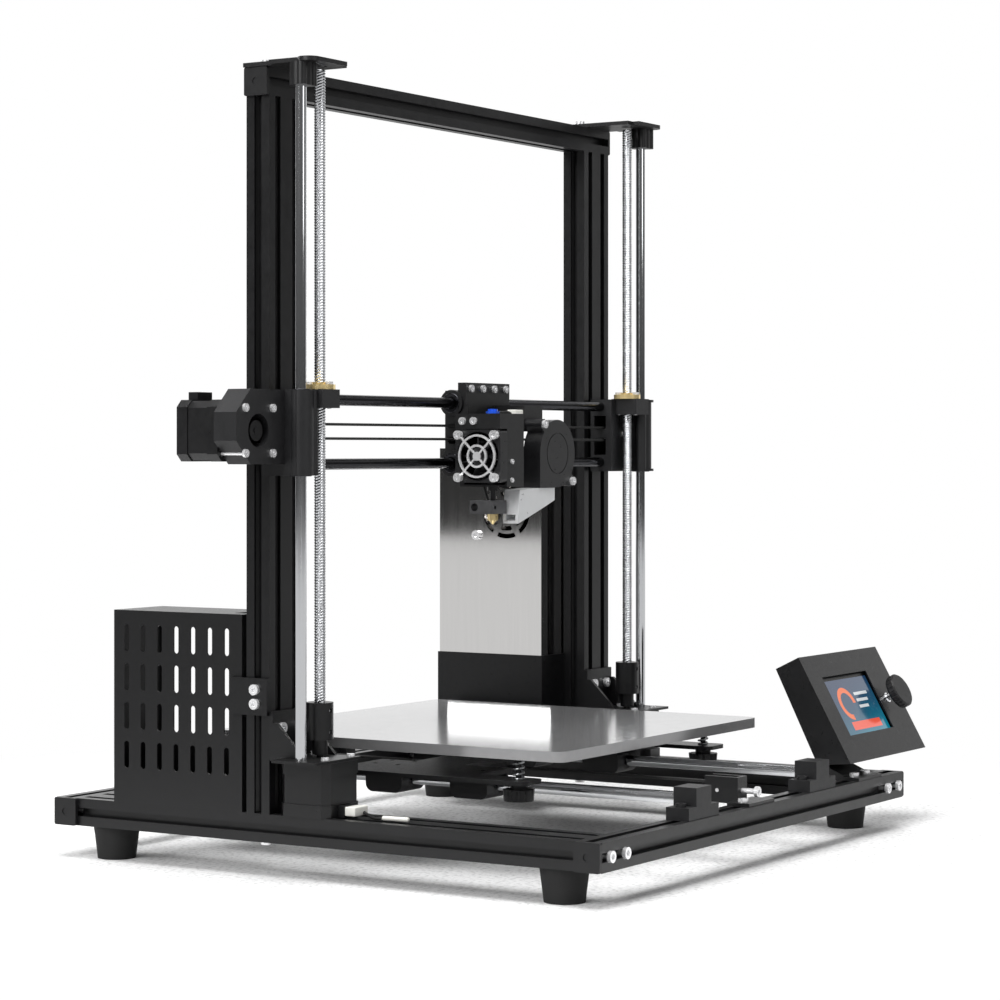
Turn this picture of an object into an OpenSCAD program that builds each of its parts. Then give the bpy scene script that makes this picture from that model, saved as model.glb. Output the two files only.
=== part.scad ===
// Desktop fused-filament printer with a moving bed, two lead screws and a 300 mm plate.
// Millimetres, Z up. X runs to the printer's right, Y from the front member to the back.

/* [Frame] */
// outer width of the base and of the top member
frame_width = 476; // [420:520]
// outer depth of the base
frame_depth = 462; // [420:520]
// height of the rubber feet
foot_height = 24; // [10:40]
// side of the square aluminium profile
profile = 20; // [15:30]
// distance from the front face of the base to the front face of the uprights
upright_y = 268; // [200:320]
// height of the uprights' top end above the table
upright_top = 547; // [450:600]

/* [Lift axis] */
// distance of the smooth lift rods from the middle
lift_rod_x = 241; // [220:260]
// distance of the lead screws from the middle
screw_x = 218.4; // [200:230]
// both lift rods and lead screws stand in this plane
lift_y = 238.7; // [220:250]
// radius of every smooth rod and of the lead screws
rod_r = 4; // [3:6]
// radial clearance of sliding and turning fits
fit = 0.06; // [0.02:0.1]

/* [Gantry] */
// height of the upper cross rod at rest
rod_top_z = 334.5; // [300:400]
// height of the lower cross rod at rest
rod_low_z = 288.6; // [260:360]
// plane of the cross rods and of the cross belt
rod_y = 257; // [250:260]
// height of the belt pulleys of the cross axis
belt_z = 312; // [300:330]

/* [Tool head] */
// sideways place of the nozzle at rest
nozzle_x = -20; // [-60:60]
// height of the nozzle's tip at rest
tip_z = 242.5; // [200:280]
// frame size of the hot end's fan
fan_size = 40; // [30:50]

/* [Bed] */
// side of the square build plate
plate_size = 300; // [200:320]
// top face of the build plate
plate_top = 90; // [80:100]
// distance of the bed rods from the middle
bed_rod_x = 95; // [70:120]
// height of the bed rods
bed_rod_z = 56.5; // [50:60]
// middle of the build plate at rest, from the front of the base
bed_y = 232.5; // [200:260]

/* [Boxes] */
// lean of the screen box's face from the vertical
screen_lean = 29.1; // [10:45]
// width of the screen box
screen_w = 143; // [120:160]
// height of the supply's case
supply_h = 215; // [150:250]
// height of the control box
control_h = 139; // [100:180]

/* [Hidden] */
$fn = 28;

base_z = foot_height;
base_top = base_z + profile;
half_w = frame_width / 2;
side_in = half_w - 2 * profile;
side_mid = half_w - profile;
post_mid_y = upright_y + profile / 2;
roof_z = upright_top + profile;
cap_t = 3;
motor_w = 42.3;
motor_h = 38;
motor_pitch = 15.5;
motor_top = base_top + motor_h;
pulley_r = 5.09;
belt_w = 6;
belt_t = 2;
bed_belt_x = -6;
bed_belt_z = 53;
motor_bed_y = 420.5;
idler_bed_y = 34;
x_motor_at = [-280, 265, belt_z];
idler_x = 225;
fan_mid = [-38, 222.7, 294];
blower_mid = [46, 203, 296];
blower_r = 26;
blower_ears = [[-20.5, 22.5], [21.5, -21.5]];
knob_x = 138;
knob_dy = 107.5;
plate_z = 64.5;
slot_n = [7, 4];
screen_at = [155, 6, 57.5];
screen_top = [50.5, 137.5];
encoder_at = [119, 0, 47];
reach_left = 305;
reach_right = screen_at[0] + screen_w;
shift = [(reach_left - reach_right) / 2, -frame_depth / 2, 0];

// ---------------------------------------------------------------- basic shapes

module span(a, b) {
  translate(a) cube(b - a);
}

module rod_along_x(x0, x1, y, z, r) {
  translate([x0, y, z]) rotate([0, 90, 0]) cylinder(r = r, h = x1 - x0);
}

module rod_along_y(y0, y1, x, z, r) {
  translate([x, y0, z]) rotate([-90, 0, 0]) cylinder(r = r, h = y1 - y0);
}

module rod_along_z(z0, z1, x, y, r) {
  translate([x, y, z0]) cylinder(r = r, h = z1 - z0);
}

// a screw with its head's underside at the origin and its shank pointing down
module cap_screw(r = 1.5, len = 8) {
  translate([0, 0, -len]) cylinder(r = r, h = len + 0.01);
  difference() {
    cylinder(r = 1.9 * r, h = 1.3 * r);
    translate([0, 0, 0.5 * r]) cylinder(r = r, h = r, $fn = 6);
  }
}

module shank(r = 1.5, len = 8) {
  translate([0, 0, -len]) cylinder(r = r, h = len + 0.5);
}

// one T-slot cut, opening towards +X of a profile centred on the origin
module slot_cut() {
  h = profile / 2;
  polygon([[h + 1, -3.1], [h + 1, 3.1], [h - 1.8, 3.1], [h - 1.8, 5.5], [h - 3.4, 5.5],
           [h - 5.8, 2.9], [h - 5.8, -2.9], [h - 3.4, -5.5], [h - 1.8, -5.5], [h - 1.8, -3.1]]);
}

module profile_single() {
  difference() {
    square(profile, center = true);
    for (turn = [0:90:270]) rotate(turn) slot_cut();
    circle(r = 2.1);
  }
}

// double profile, two squares wide along X
module profile_double() {
  difference() {
    square([2 * profile, profile], center = true);
    for (side = [-1, 1]) translate([side * profile / 2, 0]) {
      rotate(90 - side * 90) slot_cut();
      rotate(90) slot_cut();
      rotate(-90) slot_cut();
      circle(r = 2.1);
    }
    square([7, 11], center = true);
  }
}

// the nut that slides in a profile slot, with the profile's face at z = 0
module slot_bolt(t = 3, r = 2) {
  translate([0, 0, t]) cap_screw(r = r, len = t + 4.5);
  translate([0, 4, 0]) rotate([90, 0, 0]) linear_extrude(8)
    polygon([[-5, -1.8], [5, -1.8], [5, -3.3], [3.4, -5], [-3.4, -5], [-5, -3.3]]);
}

module rounded_plate(size, r, t) {
  linear_extrude(t) {
    translate([r, 0]) square([size[0] - 2 * r, size[1]]);
    translate([0, r]) square([size[0], size[1] - 2 * r]);
    for (x = [r, size[0] - r], y = [r, size[1] - r]) translate([x, y]) circle(r = r);
  }
}

// stepper motor standing on its shaft's axis, flange at z = 0, body below
module motor_body(h = motor_h) {
  e = motor_w / 2;
  c = 5;
  outline = [[-e + c, -e], [e - c, -e], [e, -e + c], [e, e - c],
             [e - c, e], [-e + c, e], [-e, e - c], [-e, -e + c]];
  difference() {
    union() {
      translate([0, 0, -9]) linear_extrude(9) polygon(outline);
      translate([0, 0, -h]) linear_extrude(9) polygon(outline);
      translate([0, 0, -h + 4]) linear_extrude(h - 8) scale(0.965) polygon(outline);
      cylinder(r = 11, h = 2);
      translate([-8, -e - 5.5, -h]) cube([16, 7, 8]);
    }
    translate([0, 0, -16]) cylinder(r = 2.5 + fit, h = 20);
    for (sx = [-1, 1], sy = [-1, 1]) translate([sx * motor_pitch, sy * motor_pitch, -5])
      cylinder(r = 1.5, h = 6);
  }
}

module four(p = motor_pitch) {
  for (sx = [-1, 1], sy = [-1, 1]) translate([sx * p, sy * p, 0]) children();
}

// toothed pulley on +Z, belt groove from z = 1 to z = 1 + belt_w + 1
module toothed_pulley(bore = 2.5, hub = 6) {
  difference() {
    union() {
      cylinder(r = 7.2, h = 1);
      translate([0, 0, 1]) cylinder(r = pulley_r - belt_t / 2, h = belt_w + 1);
      translate([0, 0, belt_w + 2]) cylinder(r = 7.2, h = hub);
    }
    translate([0, 0, -1]) cylinder(r = bore, h = belt_w + hub + 4);
  }
}

// closed belt loop in a plane, pulleys a and b apart along X, extruded up Z
module belt_loop(len) {
  inner = pulley_r - belt_t / 2;
  outer = pulley_r + belt_t / 2;
  linear_extrude(belt_w) difference() {
    union() {
      circle(r = outer);
      translate([len, 0]) circle(r = outer);
      translate([0, -outer]) square([len, 2 * outer]);
    }
    circle(r = inner + 0.03);
    translate([len, 0]) circle(r = inner + 0.03);
    translate([0, -inner - 0.03]) square([len, 2 * inner + 0.06]);
  }
}

// ---------------------------------------------------------------- frame

module cross_members() {
  color("#17181a") {
    difference() {
      for (y = [0, frame_depth - profile])
        translate([-half_w, y + profile / 2, base_z + profile / 2]) rotate([90, 0, 90])
          linear_extrude(frame_width) profile_single();
      for (x = [side_mid - 10, side_mid + 10], s = [-1, 1])
        rod_along_y(-1, frame_depth + 1, s * x, base_z + 10, 2.1);
    }
    difference() {
      translate([-half_w, post_mid_y, roof_z - profile / 2]) rotate([90, 0, 90])
        linear_extrude(frame_width) profile_single();
      for (x = [side_mid - 10, side_mid + 10], s = [-1, 1])
        rod_along_z(upright_top - 1, roof_z + 1, s * x, post_mid_y, 2.1);
    }
  }
}

module side_members() {
  color("#17181a") for (s = [-1, 1]) difference() {
    translate([s * side_mid, frame_depth - profile, base_z + profile / 2]) rotate([90, 0, 0])
      linear_extrude(frame_depth - 2 * profile) profile_double();
    for (d = [-10, 10]) rod_along_z(base_z - 1, base_top + 1, s * side_mid + d, post_mid_y, 2.1);
  }
}

module uprights() {
  color("#17181a") for (s = [-1, 1])
    translate([s * side_mid, post_mid_y, base_top])
      linear_extrude(upright_top - base_top) profile_double();
}

module end_cap() {
  rotate([90, 0, 90]) difference() {
    translate([-profile / 2, -profile / 2, 0]) rounded_plate([profile, profile], 1.5, cap_t);
    translate([0, 0, cap_t - 0.6]) cylinder(r = 2.6, h = 1);
  }
}

module frame_end_caps() {
  color("#0e0f10") for (s = [0, 1]) mirror([s, 0, 0]) {
    for (y = [profile / 2, frame_depth - profile / 2])
      translate([half_w, y, base_z + profile / 2]) end_cap();
    translate([half_w, post_mid_y, roof_z - profile / 2]) end_cap();
  }
}

module foot() {
  difference() {
    cylinder(r1 = 14, r2 = 17, h = foot_height);
    translate([0, 0, -1]) cylinder(r = 5, h = 9);
  }
}

module rubber_feet() {
  color("#101010") for (s = [-1, 1], y = [40, frame_depth - 40])
    translate([s * side_mid, y, 0]) foot();
}

module frame_bolts() {
  color("#c9ccd0") {
    for (s = [-1, 1], d = [-10, 10]) {
      x = s * side_mid + d;
      translate([x, 0, base_z + 10]) rotate([90, 0, 0]) cap_screw(r = 2.1, len = 35);
      translate([x, frame_depth, base_z + 10]) rotate([-90, 0, 0]) cap_screw(r = 2.1, len = 35);
      translate([x, post_mid_y, roof_z + 3]) cap_screw(r = 2.1, len = 38);
      translate([x, post_mid_y, base_z]) rotate([180, 0, 0]) cap_screw(r = 2.1, len = 35);
      translate([x, upright_y, base_top + 60]) rotate([90, 0, 0]) slot_bolt(3);
    }
    for (s = [-1, 1]) translate([s * screw_x, lift_y, motor_top + 2])
      four() cap_screw(r = 1.5, len = 7);
    for (z = [121, 131]) translate([-half_w, post_mid_y, z]) rotate([0, -90, 0]) slot_bolt_x(3);
    for (y = [profile / 2, frame_depth - profile / 2]) translate([-18, y, base_top]) slot_bolt_x(2.5);
    translate([1.5, motor_bed_y, bed_belt_z]) rotate([0, -90, 0]) four() cap_screw(r = 1.5, len = 7);
    for (z = [170, 275]) translate([side_mid - 10, upright_y + profile + 0.01, z])
      rotate([-90, 0, 0]) translate([0, 0, 1.2]) rotate([180, 0, 0]) slot_stud();
    for (x = [170, 190]) translate([x, profile / 2, base_top]) slot_bolt_x(2.5);
    translate([psu_x[0], 351.7, 227.5]) rotate([0, -90, 0]) cap_screw(r = 2.1, len = 4);
    translate([bed_belt_x, 6, bed_belt_z]) rotate([90, 0, 0]) cap_screw(r = 2, len = 13.4);
  }
}

// the slot of a cross member runs along X, so the nut is turned
module slot_bolt_x(t) {
  rotate(90) slot_bolt(t);
}

// stud that holds the supply's case on the back of its upright
module slot_stud() {
  cylinder(r = 2, h = 5.6);
  translate([0, 4, 0]) rotate([90, 0, 0]) linear_extrude(8)
    polygon([[-5, 3.1], [5, 3.1], [5, 4.5], [3.4, 6.2], [-3.4, 6.2], [-5, 4.5]]);
}

// ---------------------------------------------------------------- lift axis, fixed parts

module top_plate() {
  difference() {
    union() {
      translate([0, 0, roof_z]) linear_extrude(cap_t) {
        translate([side_in + 3, 228]) square([46, 34]);
        translate([side_in + 11, 222]) square([34, 8]);
        translate([side_in + 45, 230]) circle(r = 8);
        translate([side_in + 3, 258]) square([41, 30]);
      }
      rod_along_z(roof_z - 16, roof_z, lift_rod_x, lift_y, 8);
      for (turn = [-40, 220]) translate([lift_rod_x, lift_y, roof_z - 16]) rotate(turn)
        translate([8, 0, 0]) cylinder(r = 3.4, h = 16);
    }
    rod_along_z(roof_z - 20, roof_z + 0.01, lift_rod_x, lift_y, rod_r);
    rod_along_z(roof_z - 1, roof_z + 5, screw_x, lift_y, rod_r + 1.2);
    for (d = [-10, 10]) rod_along_z(roof_z - 1, roof_z + 5, side_mid + d, post_mid_y, 2.1);
  }
}

module z_top_plates() {
  color("#1b1c1e") for (s = [0, 1]) mirror([s, 0, 0]) top_plate();
}

module motor_bracket() {
  difference() {
    union() {
      span([side_in, 218, motor_top], [252, 256, motor_top + 2]);
      span([side_in, 250, motor_top], [half_w, upright_y, motor_top + 2]);
      span([side_in, upright_y - 3, motor_top], [half_w, upright_y, 116]);
      for (x = [side_in, half_w - 3]) translate([x + 3, 0, 0]) rotate([0, -90, 0])
        linear_extrude(3) polygon([[motor_top, 236], [motor_top, upright_y], [108, upright_y],
                                   [108, 262]]);
    }
    rod_along_z(motor_top - 1, motor_top + 3, screw_x, lift_y, 11 + fit);
    rod_along_z(motor_top - 1, 93, screw_x, lift_y, 10.5);
    rod_along_z(motor_top - 1, 93, lift_rod_x, lift_y, rod_r);
    translate([screw_x, lift_y, motor_top + 3]) four() shank(1.5, 5);
    for (sx = [-1, 1], sy = [-1, 1])
      rod_along_z(motor_top + 2, 93, screw_x + sx * motor_pitch, lift_y + sy * motor_pitch, 3.2);
    for (d = [-10, 10]) rod_along_y(upright_y - 5, upright_y + 1, side_mid + d, base_top + 60, 2);
    for (d = [-10, 10]) rod_along_y(upright_y - 12, upright_y - 3, side_mid + d, base_top + 60, 4.2);
  }
}

module z_motor_brackets() {
  color("#1b1c1e") for (s = [0, 1]) mirror([s, 0, 0]) motor_bracket();
}

module stepper_motors() {
  color("#1a1a1b") {
    for (s = [0, 1]) mirror([s, 0, 0]) translate([screw_x, lift_y, motor_top]) motor_body();
    translate([4, motor_bed_y, bed_belt_z]) rotate([0, -90, 0]) motor_body();
  }
}

module z_smooth_rods() {
  color("#d9dce0") for (s = [-1, 1])
    rod_along_z(motor_top + 0.5, roof_z - 0.01, s * lift_rod_x, lift_y, rod_r);
}

module lead_screw(s) {
  color("#c3c6c9") rod_along_z(110, 565, s * screw_x, lift_y, rod_r);
}

module lead_screw_left() lead_screw(-1);
module lead_screw_right() lead_screw(1);

module coupler(s) {
  color("#b9bcc0") translate([s * screw_x, lift_y, 0]) {
    difference() {
      union() {
        rod_along_z(86, 97, 0, 0, 5.5);
        rod_along_z(96.5, 122.5, 0, 0, 9.5);
      }
      rod_along_z(85, 110, 0, 0, 2.5);
      rod_along_z(110, 123, 0, 0, rod_r);
      for (z = [102, 117]) translate([0, 0, z]) rotate([90, 0, 0]) cylinder(r = 1.6, h = 12);
      for (z = [102, 117]) translate([0, 0, z]) rotate([0, 90, 0]) cylinder(r = 1.6, h = 12);
    }
    rod_along_z(motor_top - 14, 109.5, 0, 0, 2.5);
  }
}

module z_coupler_left() coupler(-1);
module z_coupler_right() coupler(1);

// ---------------------------------------------------------------- bed axis, fixed parts

module y_rods() {
  color("#d9dce0") for (s = [-1, 1])
    rod_along_y(5, frame_depth - 5, s * bed_rod_x, bed_rod_z, rod_r);
}

module rod_holder() {
  difference() {
    union() {
      span([-22, 1, base_top], [22, 19, base_top + 9]);
      span([-11, 1, base_top], [11, 19, base_top + 22]);
    }
    rod_along_y(5, 20, 0, bed_rod_z, rod_r);
    for (x = [-17, 17]) rod_along_z(base_top - 1, base_top + 10, x, 10, 2);
  }
  for (x = [-17, 17]) translate([x, 10, base_top]) slot_bolt_x(9);
}

module y_rod_holders() {
  color("#161718") for (s = [-1, 1], e = [0, 1])
    translate([s * bed_rod_x, e * frame_depth, 0]) mirror([0, e, 0]) rod_holder();
}

module y_belt_brackets() {
  color("#1b1c1e") {
    difference() {
      union() {
        span([-26, 1, base_top], [14, 19, base_top + 2.5]);
        for (x = [-12.8, -0.8]) span([x, 17, base_top], [x + 2.5, 44, base_top + 19]);
        span([-12.8, 17, base_top], [1.7, 19.5, base_top + 19]);
      }
      rod_along_x(-14, 3, idler_bed_y, bed_belt_z, 1.5);
      rod_along_y(16, 21, bed_belt_x, bed_belt_z, 2);
      rod_along_z(base_top - 1, base_top + 3, -18, 10, 2);
    }
    difference() {
      union() {
        span([-26, frame_depth - 19, base_top], [4, frame_depth - 1, base_top + 2.5]);
        span([1.5, motor_bed_y - 21, 33], [4, motor_bed_y + 20.9, 76]);
        span([1.5, frame_depth - 22, base_top + 0.2], [4, frame_depth - 1, base_top + 26]);
      }
      rod_along_x(1, 5, motor_bed_y, bed_belt_z, 11 + fit);
      translate([1, motor_bed_y, bed_belt_z]) rotate([0, -90, 0]) four() shank(1.5, 5);
      rod_along_z(base_top - 1, base_top + 3, -18, frame_depth - 10, 2);
    }
  }
}

// ---------------------------------------------------------------- control box

box_x = [-238, -183];
box_y = [292, 408];

module vent_grid(x0, x1) {
  for (c = [0:slot_n[0] - 1], r = [0:slot_n[1] - 1])
    translate([0, 305.7 + c * 15.1, 68.9 + r * 28.1]) {
      span([x0, -2.2, 2.2], [x1, 2.2, 17.4]);
      for (z = [2.2, 17.4]) rod_along_x(x0, x1, 0, z, 2.2);
    }
}

module electronics_case() {
  t = 1.2;
  color("#141516") difference() {
    union() {
      span([box_x[0], box_y[0], base_top], [box_x[1] - t, box_y[1], base_top + control_h]);
      span([box_x[0] - 3, upright_y, 113], [box_x[0], box_y[0] + 8, 139]);
    }
    for (z = [121, 131]) rod_along_x(box_x[0] - 4, box_x[0] + 1, post_mid_y, z, 2);
    span([box_x[0] + t, box_y[0] + t, base_top + t],
         [box_x[1] + 1, box_y[1] - t, base_top + control_h - t]);
    vent_grid(box_x[0] - 1, box_x[0] + t + 1);
    span([box_x[0] + 12, box_y[0] + 6, base_top + control_h - 2],
         [box_x[0] + 32, box_y[0] + 16, base_top + control_h + 1]);
  }
}

module electronics_lid() {
  t = 1.2;
  color("#141516") difference() {
    span([box_x[1] - t, box_y[0], base_top], [box_x[1], box_y[1], base_top + control_h]);
    span([box_x[1] - t - 1, box_y[0] + 7, 86], [box_x[1] + 1, box_y[1] - 5, 176]);
  }
}

// ---------------------------------------------------------------- supply

psu_x = [164, 214];
psu_y = [289.2, 389];
psu_z = 85;
psu_split = 129;

module psu_case() {
  t = 1.2;
  fan_y = 323;
  fan_z = 248;
  color("#c4c7ca") difference() {
    span([psu_x[0], psu_y[0], psu_z], [psu_x[1], psu_y[1], psu_z + supply_h]);
    span([psu_x[0] + t, psu_y[0] + t, psu_z + t],
         [psu_x[1] - t, psu_y[1] - t, psu_z + supply_h - t]);
    translate([psu_x[0] - 1, fan_y, fan_z]) rotate([90, 0, 90]) linear_extrude(t + 2) fan_slots();
    rod_along_x(psu_x[0] - 1, psu_x[0] + t + 1, 351.7, 227.5, 2.1);
    span([177, psu_y[1] - 3, psu_z - 1], [201, psu_y[1] + 1, 106]);
    for (z = [170, 275]) rod_along_y(psu_y[0] - 1, psu_y[0] + t + 1, side_mid - 10, z, 2);
  }
}

// three rings of arc slots, cut by the spokes that carry them
module fan_slots() {
  difference() {
    for (r = [8, 14.5, 21]) difference() {
      circle(r = r + 1.9);
      circle(r = r - 1.9);
    }
    for (turn = [0, 60, 120]) rotate(turn) square([60, 5], center = true);
  }
}

module psu_cover() {
  t = 1.2;
  color("#121314") difference() {
    span([psu_x[0] - t, psu_y[0] - t, base_top], [psu_x[1] + t, psu_y[1] + t, psu_split]);
    span([psu_x[0], psu_y[0], base_top + t], [psu_x[1], psu_y[1], psu_split + 1]);
    inlet_cut();
    switch_cut();
  }
}

inlet_at = [189, 60];
switch_at = [189, 97];

module inlet_cut() {
  span([inlet_at[0] - 13.5, psu_y[1] - 1, inlet_at[1] - 10],
       [inlet_at[0] + 13.5, psu_y[1] + 3, inlet_at[1] + 10]);
}

module switch_cut() {
  span([switch_at[0] - 10.5, psu_y[1] - 1, switch_at[1] - 6.5],
       [switch_at[0] + 10.5, psu_y[1] + 3, switch_at[1] + 6.5]);
}

module power_inlet() {
  y = psu_y[1] + 1.2;
  color("#0d0d0e") {
    difference() {
      union() {
        span([inlet_at[0] - 13.5, y - 18, inlet_at[1] - 10], [inlet_at[0] + 13.5, y, inlet_at[1] + 10]);
        span([inlet_at[0] - 16, y, inlet_at[1] - 12.5], [inlet_at[0] + 16, y + 2, inlet_at[1] + 12.5]);
      }
      span([inlet_at[0] - 12, y - 15, inlet_at[1] - 8], [inlet_at[0] + 12, y + 3, inlet_at[1] + 8]);
    }
    for (p = [[-7, 0], [0, 4], [7, 0]])
      span([inlet_at[0] + p[0] - 1, y - 16, inlet_at[1] + p[1] - 2],
           [inlet_at[0] + p[0] + 1, y - 3, inlet_at[1] + p[1] + 2]);
    difference() {
      union() {
        span([switch_at[0] - 10.5, y - 12, switch_at[1] - 6.5],
             [switch_at[0] + 10.5, y, switch_at[1] + 6.5]);
        span([switch_at[0] - 12.5, y, switch_at[1] - 8.5],
             [switch_at[0] + 12.5, y + 1.5, switch_at[1] + 8.5]);
      }
      span([switch_at[0] - 9.2, y - 9, switch_at[1] - 5.2],
           [switch_at[0] + 9.2, y + 3, switch_at[1] + 5.2]);
      rod_along_z(switch_at[1] - 6.3, switch_at[1] + 6.3, switch_at[0], y - 2, 1 + fit);
    }
  }
}

module power_switch() {
  y = psu_y[1] + 1.2;
  color("#8e1210") translate([switch_at[0], y - 2, switch_at[1]]) rotate(7) {
    translate([0, 0, -4.8]) linear_extrude(9.6) polygon([[-8.4, 1], [-8, 4.2], [0, 2.2],
      [8, 4.2], [8.4, 1], [5, -3.5], [-5, -3.5]]);
    rod_along_z(-6.2, 6.2, 0, 0, 1);
  }
}

// ---------------------------------------------------------------- screen box

// places children in the tilted frame: x across, y into the box, z up the face
module on_screen() {
  translate(screen_at) rotate([-screen_lean, 0, 0]) children();
}

module screen_section(inset) {
  polygon([[screen_at[1] + 1.1 * inset, screen_at[2] + inset],
           [34 - 0.6 * inset, 55 + 1.1 * inset],
           [70 - inset, 127.8 - 0.6 * inset],
           [screen_top[0] + 0.1 * inset, screen_top[1] - 1.2 * inset]]);
}

module screen_case() {
  t = 2;
  color("#0b0b0c") difference() {
    translate([screen_at[0], 0, 0]) rotate([90, 0, 90]) linear_extrude(screen_w) screen_section(0);
    translate([screen_at[0] + t, 0, 0]) rotate([90, 0, 90]) linear_extrude(screen_w - 2 * t)
      screen_section(t);
    on_screen() {
      translate([23, -2, 91.5 - 69.5]) cube([81, 6, 50.5]);
      translate(encoder_at) rotate([-90, 0, 0]) translate([0, 0, -2]) cylinder(r = 4.5, h = 8);
      for (x = [10, screen_w - 10], z = [10, 80]) translate([x, 16, z]) rotate([-90, 0, 0])
        cylinder(r = 1.4, h = 12);
    }
    rod_along_z(50, 62, 170, 24, 2);
    rod_along_z(50, 62, 190, 24, 2);
  }
}

module screen_display() {
  color("#12333f") on_screen() {
    translate([20, 2.6, 91.5 - 72]) cube([87, 3.4, 56]);
    translate([14, 6, 91.5 - 78]) cube([118, 1.6, 64]);
  }
}

module screen_bracket() {
  color("#1b1c1e") {
    difference() {
      union() {
        span([158, 0.5, base_top], [200, 19.5, base_top + 2.5]);
        translate([158, 0, 0]) rotate([90, 0, 90]) linear_extrude(42)
          polygon([[14, base_top], [19.5, base_top], [33, 54.6], [30, 54.9], [14, 48]]);
      }
      for (x = [170, 190]) rod_along_z(base_top - 1, base_top + 3, x, profile / 2, 2);
      for (x = [170, 190]) rod_along_z(base_top + 2.5, base_top + 12, x, profile / 2, 4.4);
    }
  }
}

module encoder_shaft() {
  color("#9a9da1") on_screen() translate(encoder_at) rotate([90, 0, 0]) {
    rod_along_z(-1.6, 13, 0, 0, 3);
    rod_along_z(-1.6, 0.4, 0, 0, 4.2);
  }
}

module encoder_knob() {
  color("#131314") on_screen() translate(encoder_at) rotate([90, 0, 0]) difference() {
    union() {
      rod_along_z(6.5, 9, 0, 0, 6.5);
      translate([0, 0, 8.5]) cylinder(r1 = 13.4, r2 = 14, h = 1.5);
      rod_along_z(10, 14, 0, 0, 14);
      translate([0, 0, 14]) cylinder(r1 = 14, r2 = 12.8, h = 1.2);
    }
    rod_along_z(6, 13, 0, 0, 3 + fit);
    for (turn = [0:15:345]) rotate(turn) translate([14.4, 0, 8]) cylinder(r = 0.9, h = 8, $fn = 8);
  }
}

// ---------------------------------------------------------------- gantry

module x_motor_slab() {
  c = 16;
  rotate([90, 0, 0]) translate([0, 0, -265]) linear_extrude(19) polygon([
    [-305 + c, 289], [-249, 289], [-249, 340.5], [-305 + c, 340.5], [-305, 340.5 - c], [-305, 289 + c]]);
}

// bearing housing round a lift rod, with the cross rods' block beside it
module gantry_block() {
  rod_along_z(281, 340.5, lift_rod_x, lift_y, 9.2);
  rod_along_z(281, 340.5, 233.8, 234.4, 4.5);
  span([205, 246, 281], [250, 266, 340.5]);
  span([232, 236, 281], [250, 250, 340.5]);
  span([212, 226.2, 328], [232.7, 250, 341]);
}

module gantry_bores() {
  rod_along_z(280, 342, lift_rod_x, lift_y, rod_r + fit);
  rod_along_z(320, 345, screw_x, lift_y, 5.1);
  for (z = [rod_low_z, rod_top_z]) rod_along_x(200, 248, rod_y, z, rod_r);
  for (d = [-8, 8]) rod_along_z(322, 345, screw_x, lift_y + d, 1.5);
}

module x_end_left() {
  color("#1d1e20") difference() {
    union() {
      mirror([1, 0, 0]) gantry_block();
      x_motor_slab();
    }
    mirror([1, 0, 0]) gantry_bores();
    rod_along_y(240, 270, x_motor_at[0], belt_z, 11.5);
    span([x_motor_at[0], 251, belt_z - 8.5], [-200, 263, belt_z + 8.5]);
    translate([x_motor_at[0], 246, belt_z]) rotate([90, 0, 0]) four() shank(1.5, 20);
  }
}

module x_end_right() {
  color("#1d1e20") difference() {
    union() {
      gantry_block();
      for (z = [281, 338.5]) rod_along_z(z, z + 2, lift_rod_x, lift_y, 11);
    }
    gantry_bores();
    span([213, 251.5, 294.6], [238, 262.5, 327]);
    for (z = [[294.6, 308.2], [315.8, 327]]) span([199, 251.5, z[0]], [214, 262.5, z[1]]);
    rod_along_y(240, 270, idler_x, belt_z, 1.5);
  }
}

module x_rods() {
  color("#2c2e31") for (z = [rod_low_z, rod_top_z])
    rod_along_x(-247.5, 247.5, rod_y, z, rod_r);
}

module z_nuts() {
  color("#b08d3e") for (s = [-1, 1]) translate([s * screw_x, lift_y, 0]) difference() {
    union() {
      rod_along_z(341, 344.5, 0, 0, 11);
      rod_along_z(330, 341, 0, 0, 5.1);
      rod_along_z(344.5, 346, 0, 0, 5.1);
    }
    rod_along_z(329, 347, 0, 0, rod_r + fit);
    for (d = [-8, 8]) rod_along_z(340, 345, 0, d, 1.5);
  }
}

module x_motor() {
  color("#1a1a1b") translate(x_motor_at) rotate([90, 0, 0]) rotate(180) motor_body(35);
}

module x_pulley() {
  color("#b9bcc0") translate(x_motor_at) rotate([90, 0, 0]) {
    translate([0, 0, 4]) difference() {
      toothed_pulley(2.5, 5);
      rod_along_z(-2, 20, 0, 0, 2.5);
    }
    rod_along_z(-15, 17.5, 0, 0, 2.5);
  }
}

module x_idler() {
  color("#c9ccd0") translate([idler_x, rod_y + 4, belt_z]) rotate([90, 0, 0])
    toothed_pulley(1.5 + fit, 0.9);
}

module x_belt() {
  color("#0a0a0a") translate([x_motor_at[0], rod_y + belt_w / 2, belt_z]) rotate([90, 0, 0])
    belt_loop(idler_x - x_motor_at[0]);
}

module gantry_bolts() {
  color("#c9ccd0") {
    translate([x_motor_at[0], 246, belt_z]) rotate([90, 0, 0]) four() cap_screw(r = 1.5, len = 23.5);
    for (s = [-1, 1], d = [-8, 8]) translate([s * screw_x, lift_y + d, 344.5])
      cap_screw(r = 1.5, len = 17);
    translate([idler_x, 246, belt_z]) rotate([90, 0, 0]) cap_screw(r = 1.5, len = 19.5);
  }
}

// ---------------------------------------------------------------- carriage and tool head

fan_screws = [for (y = [-16, 16], z = [-16, 16]) [y, z]];

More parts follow.
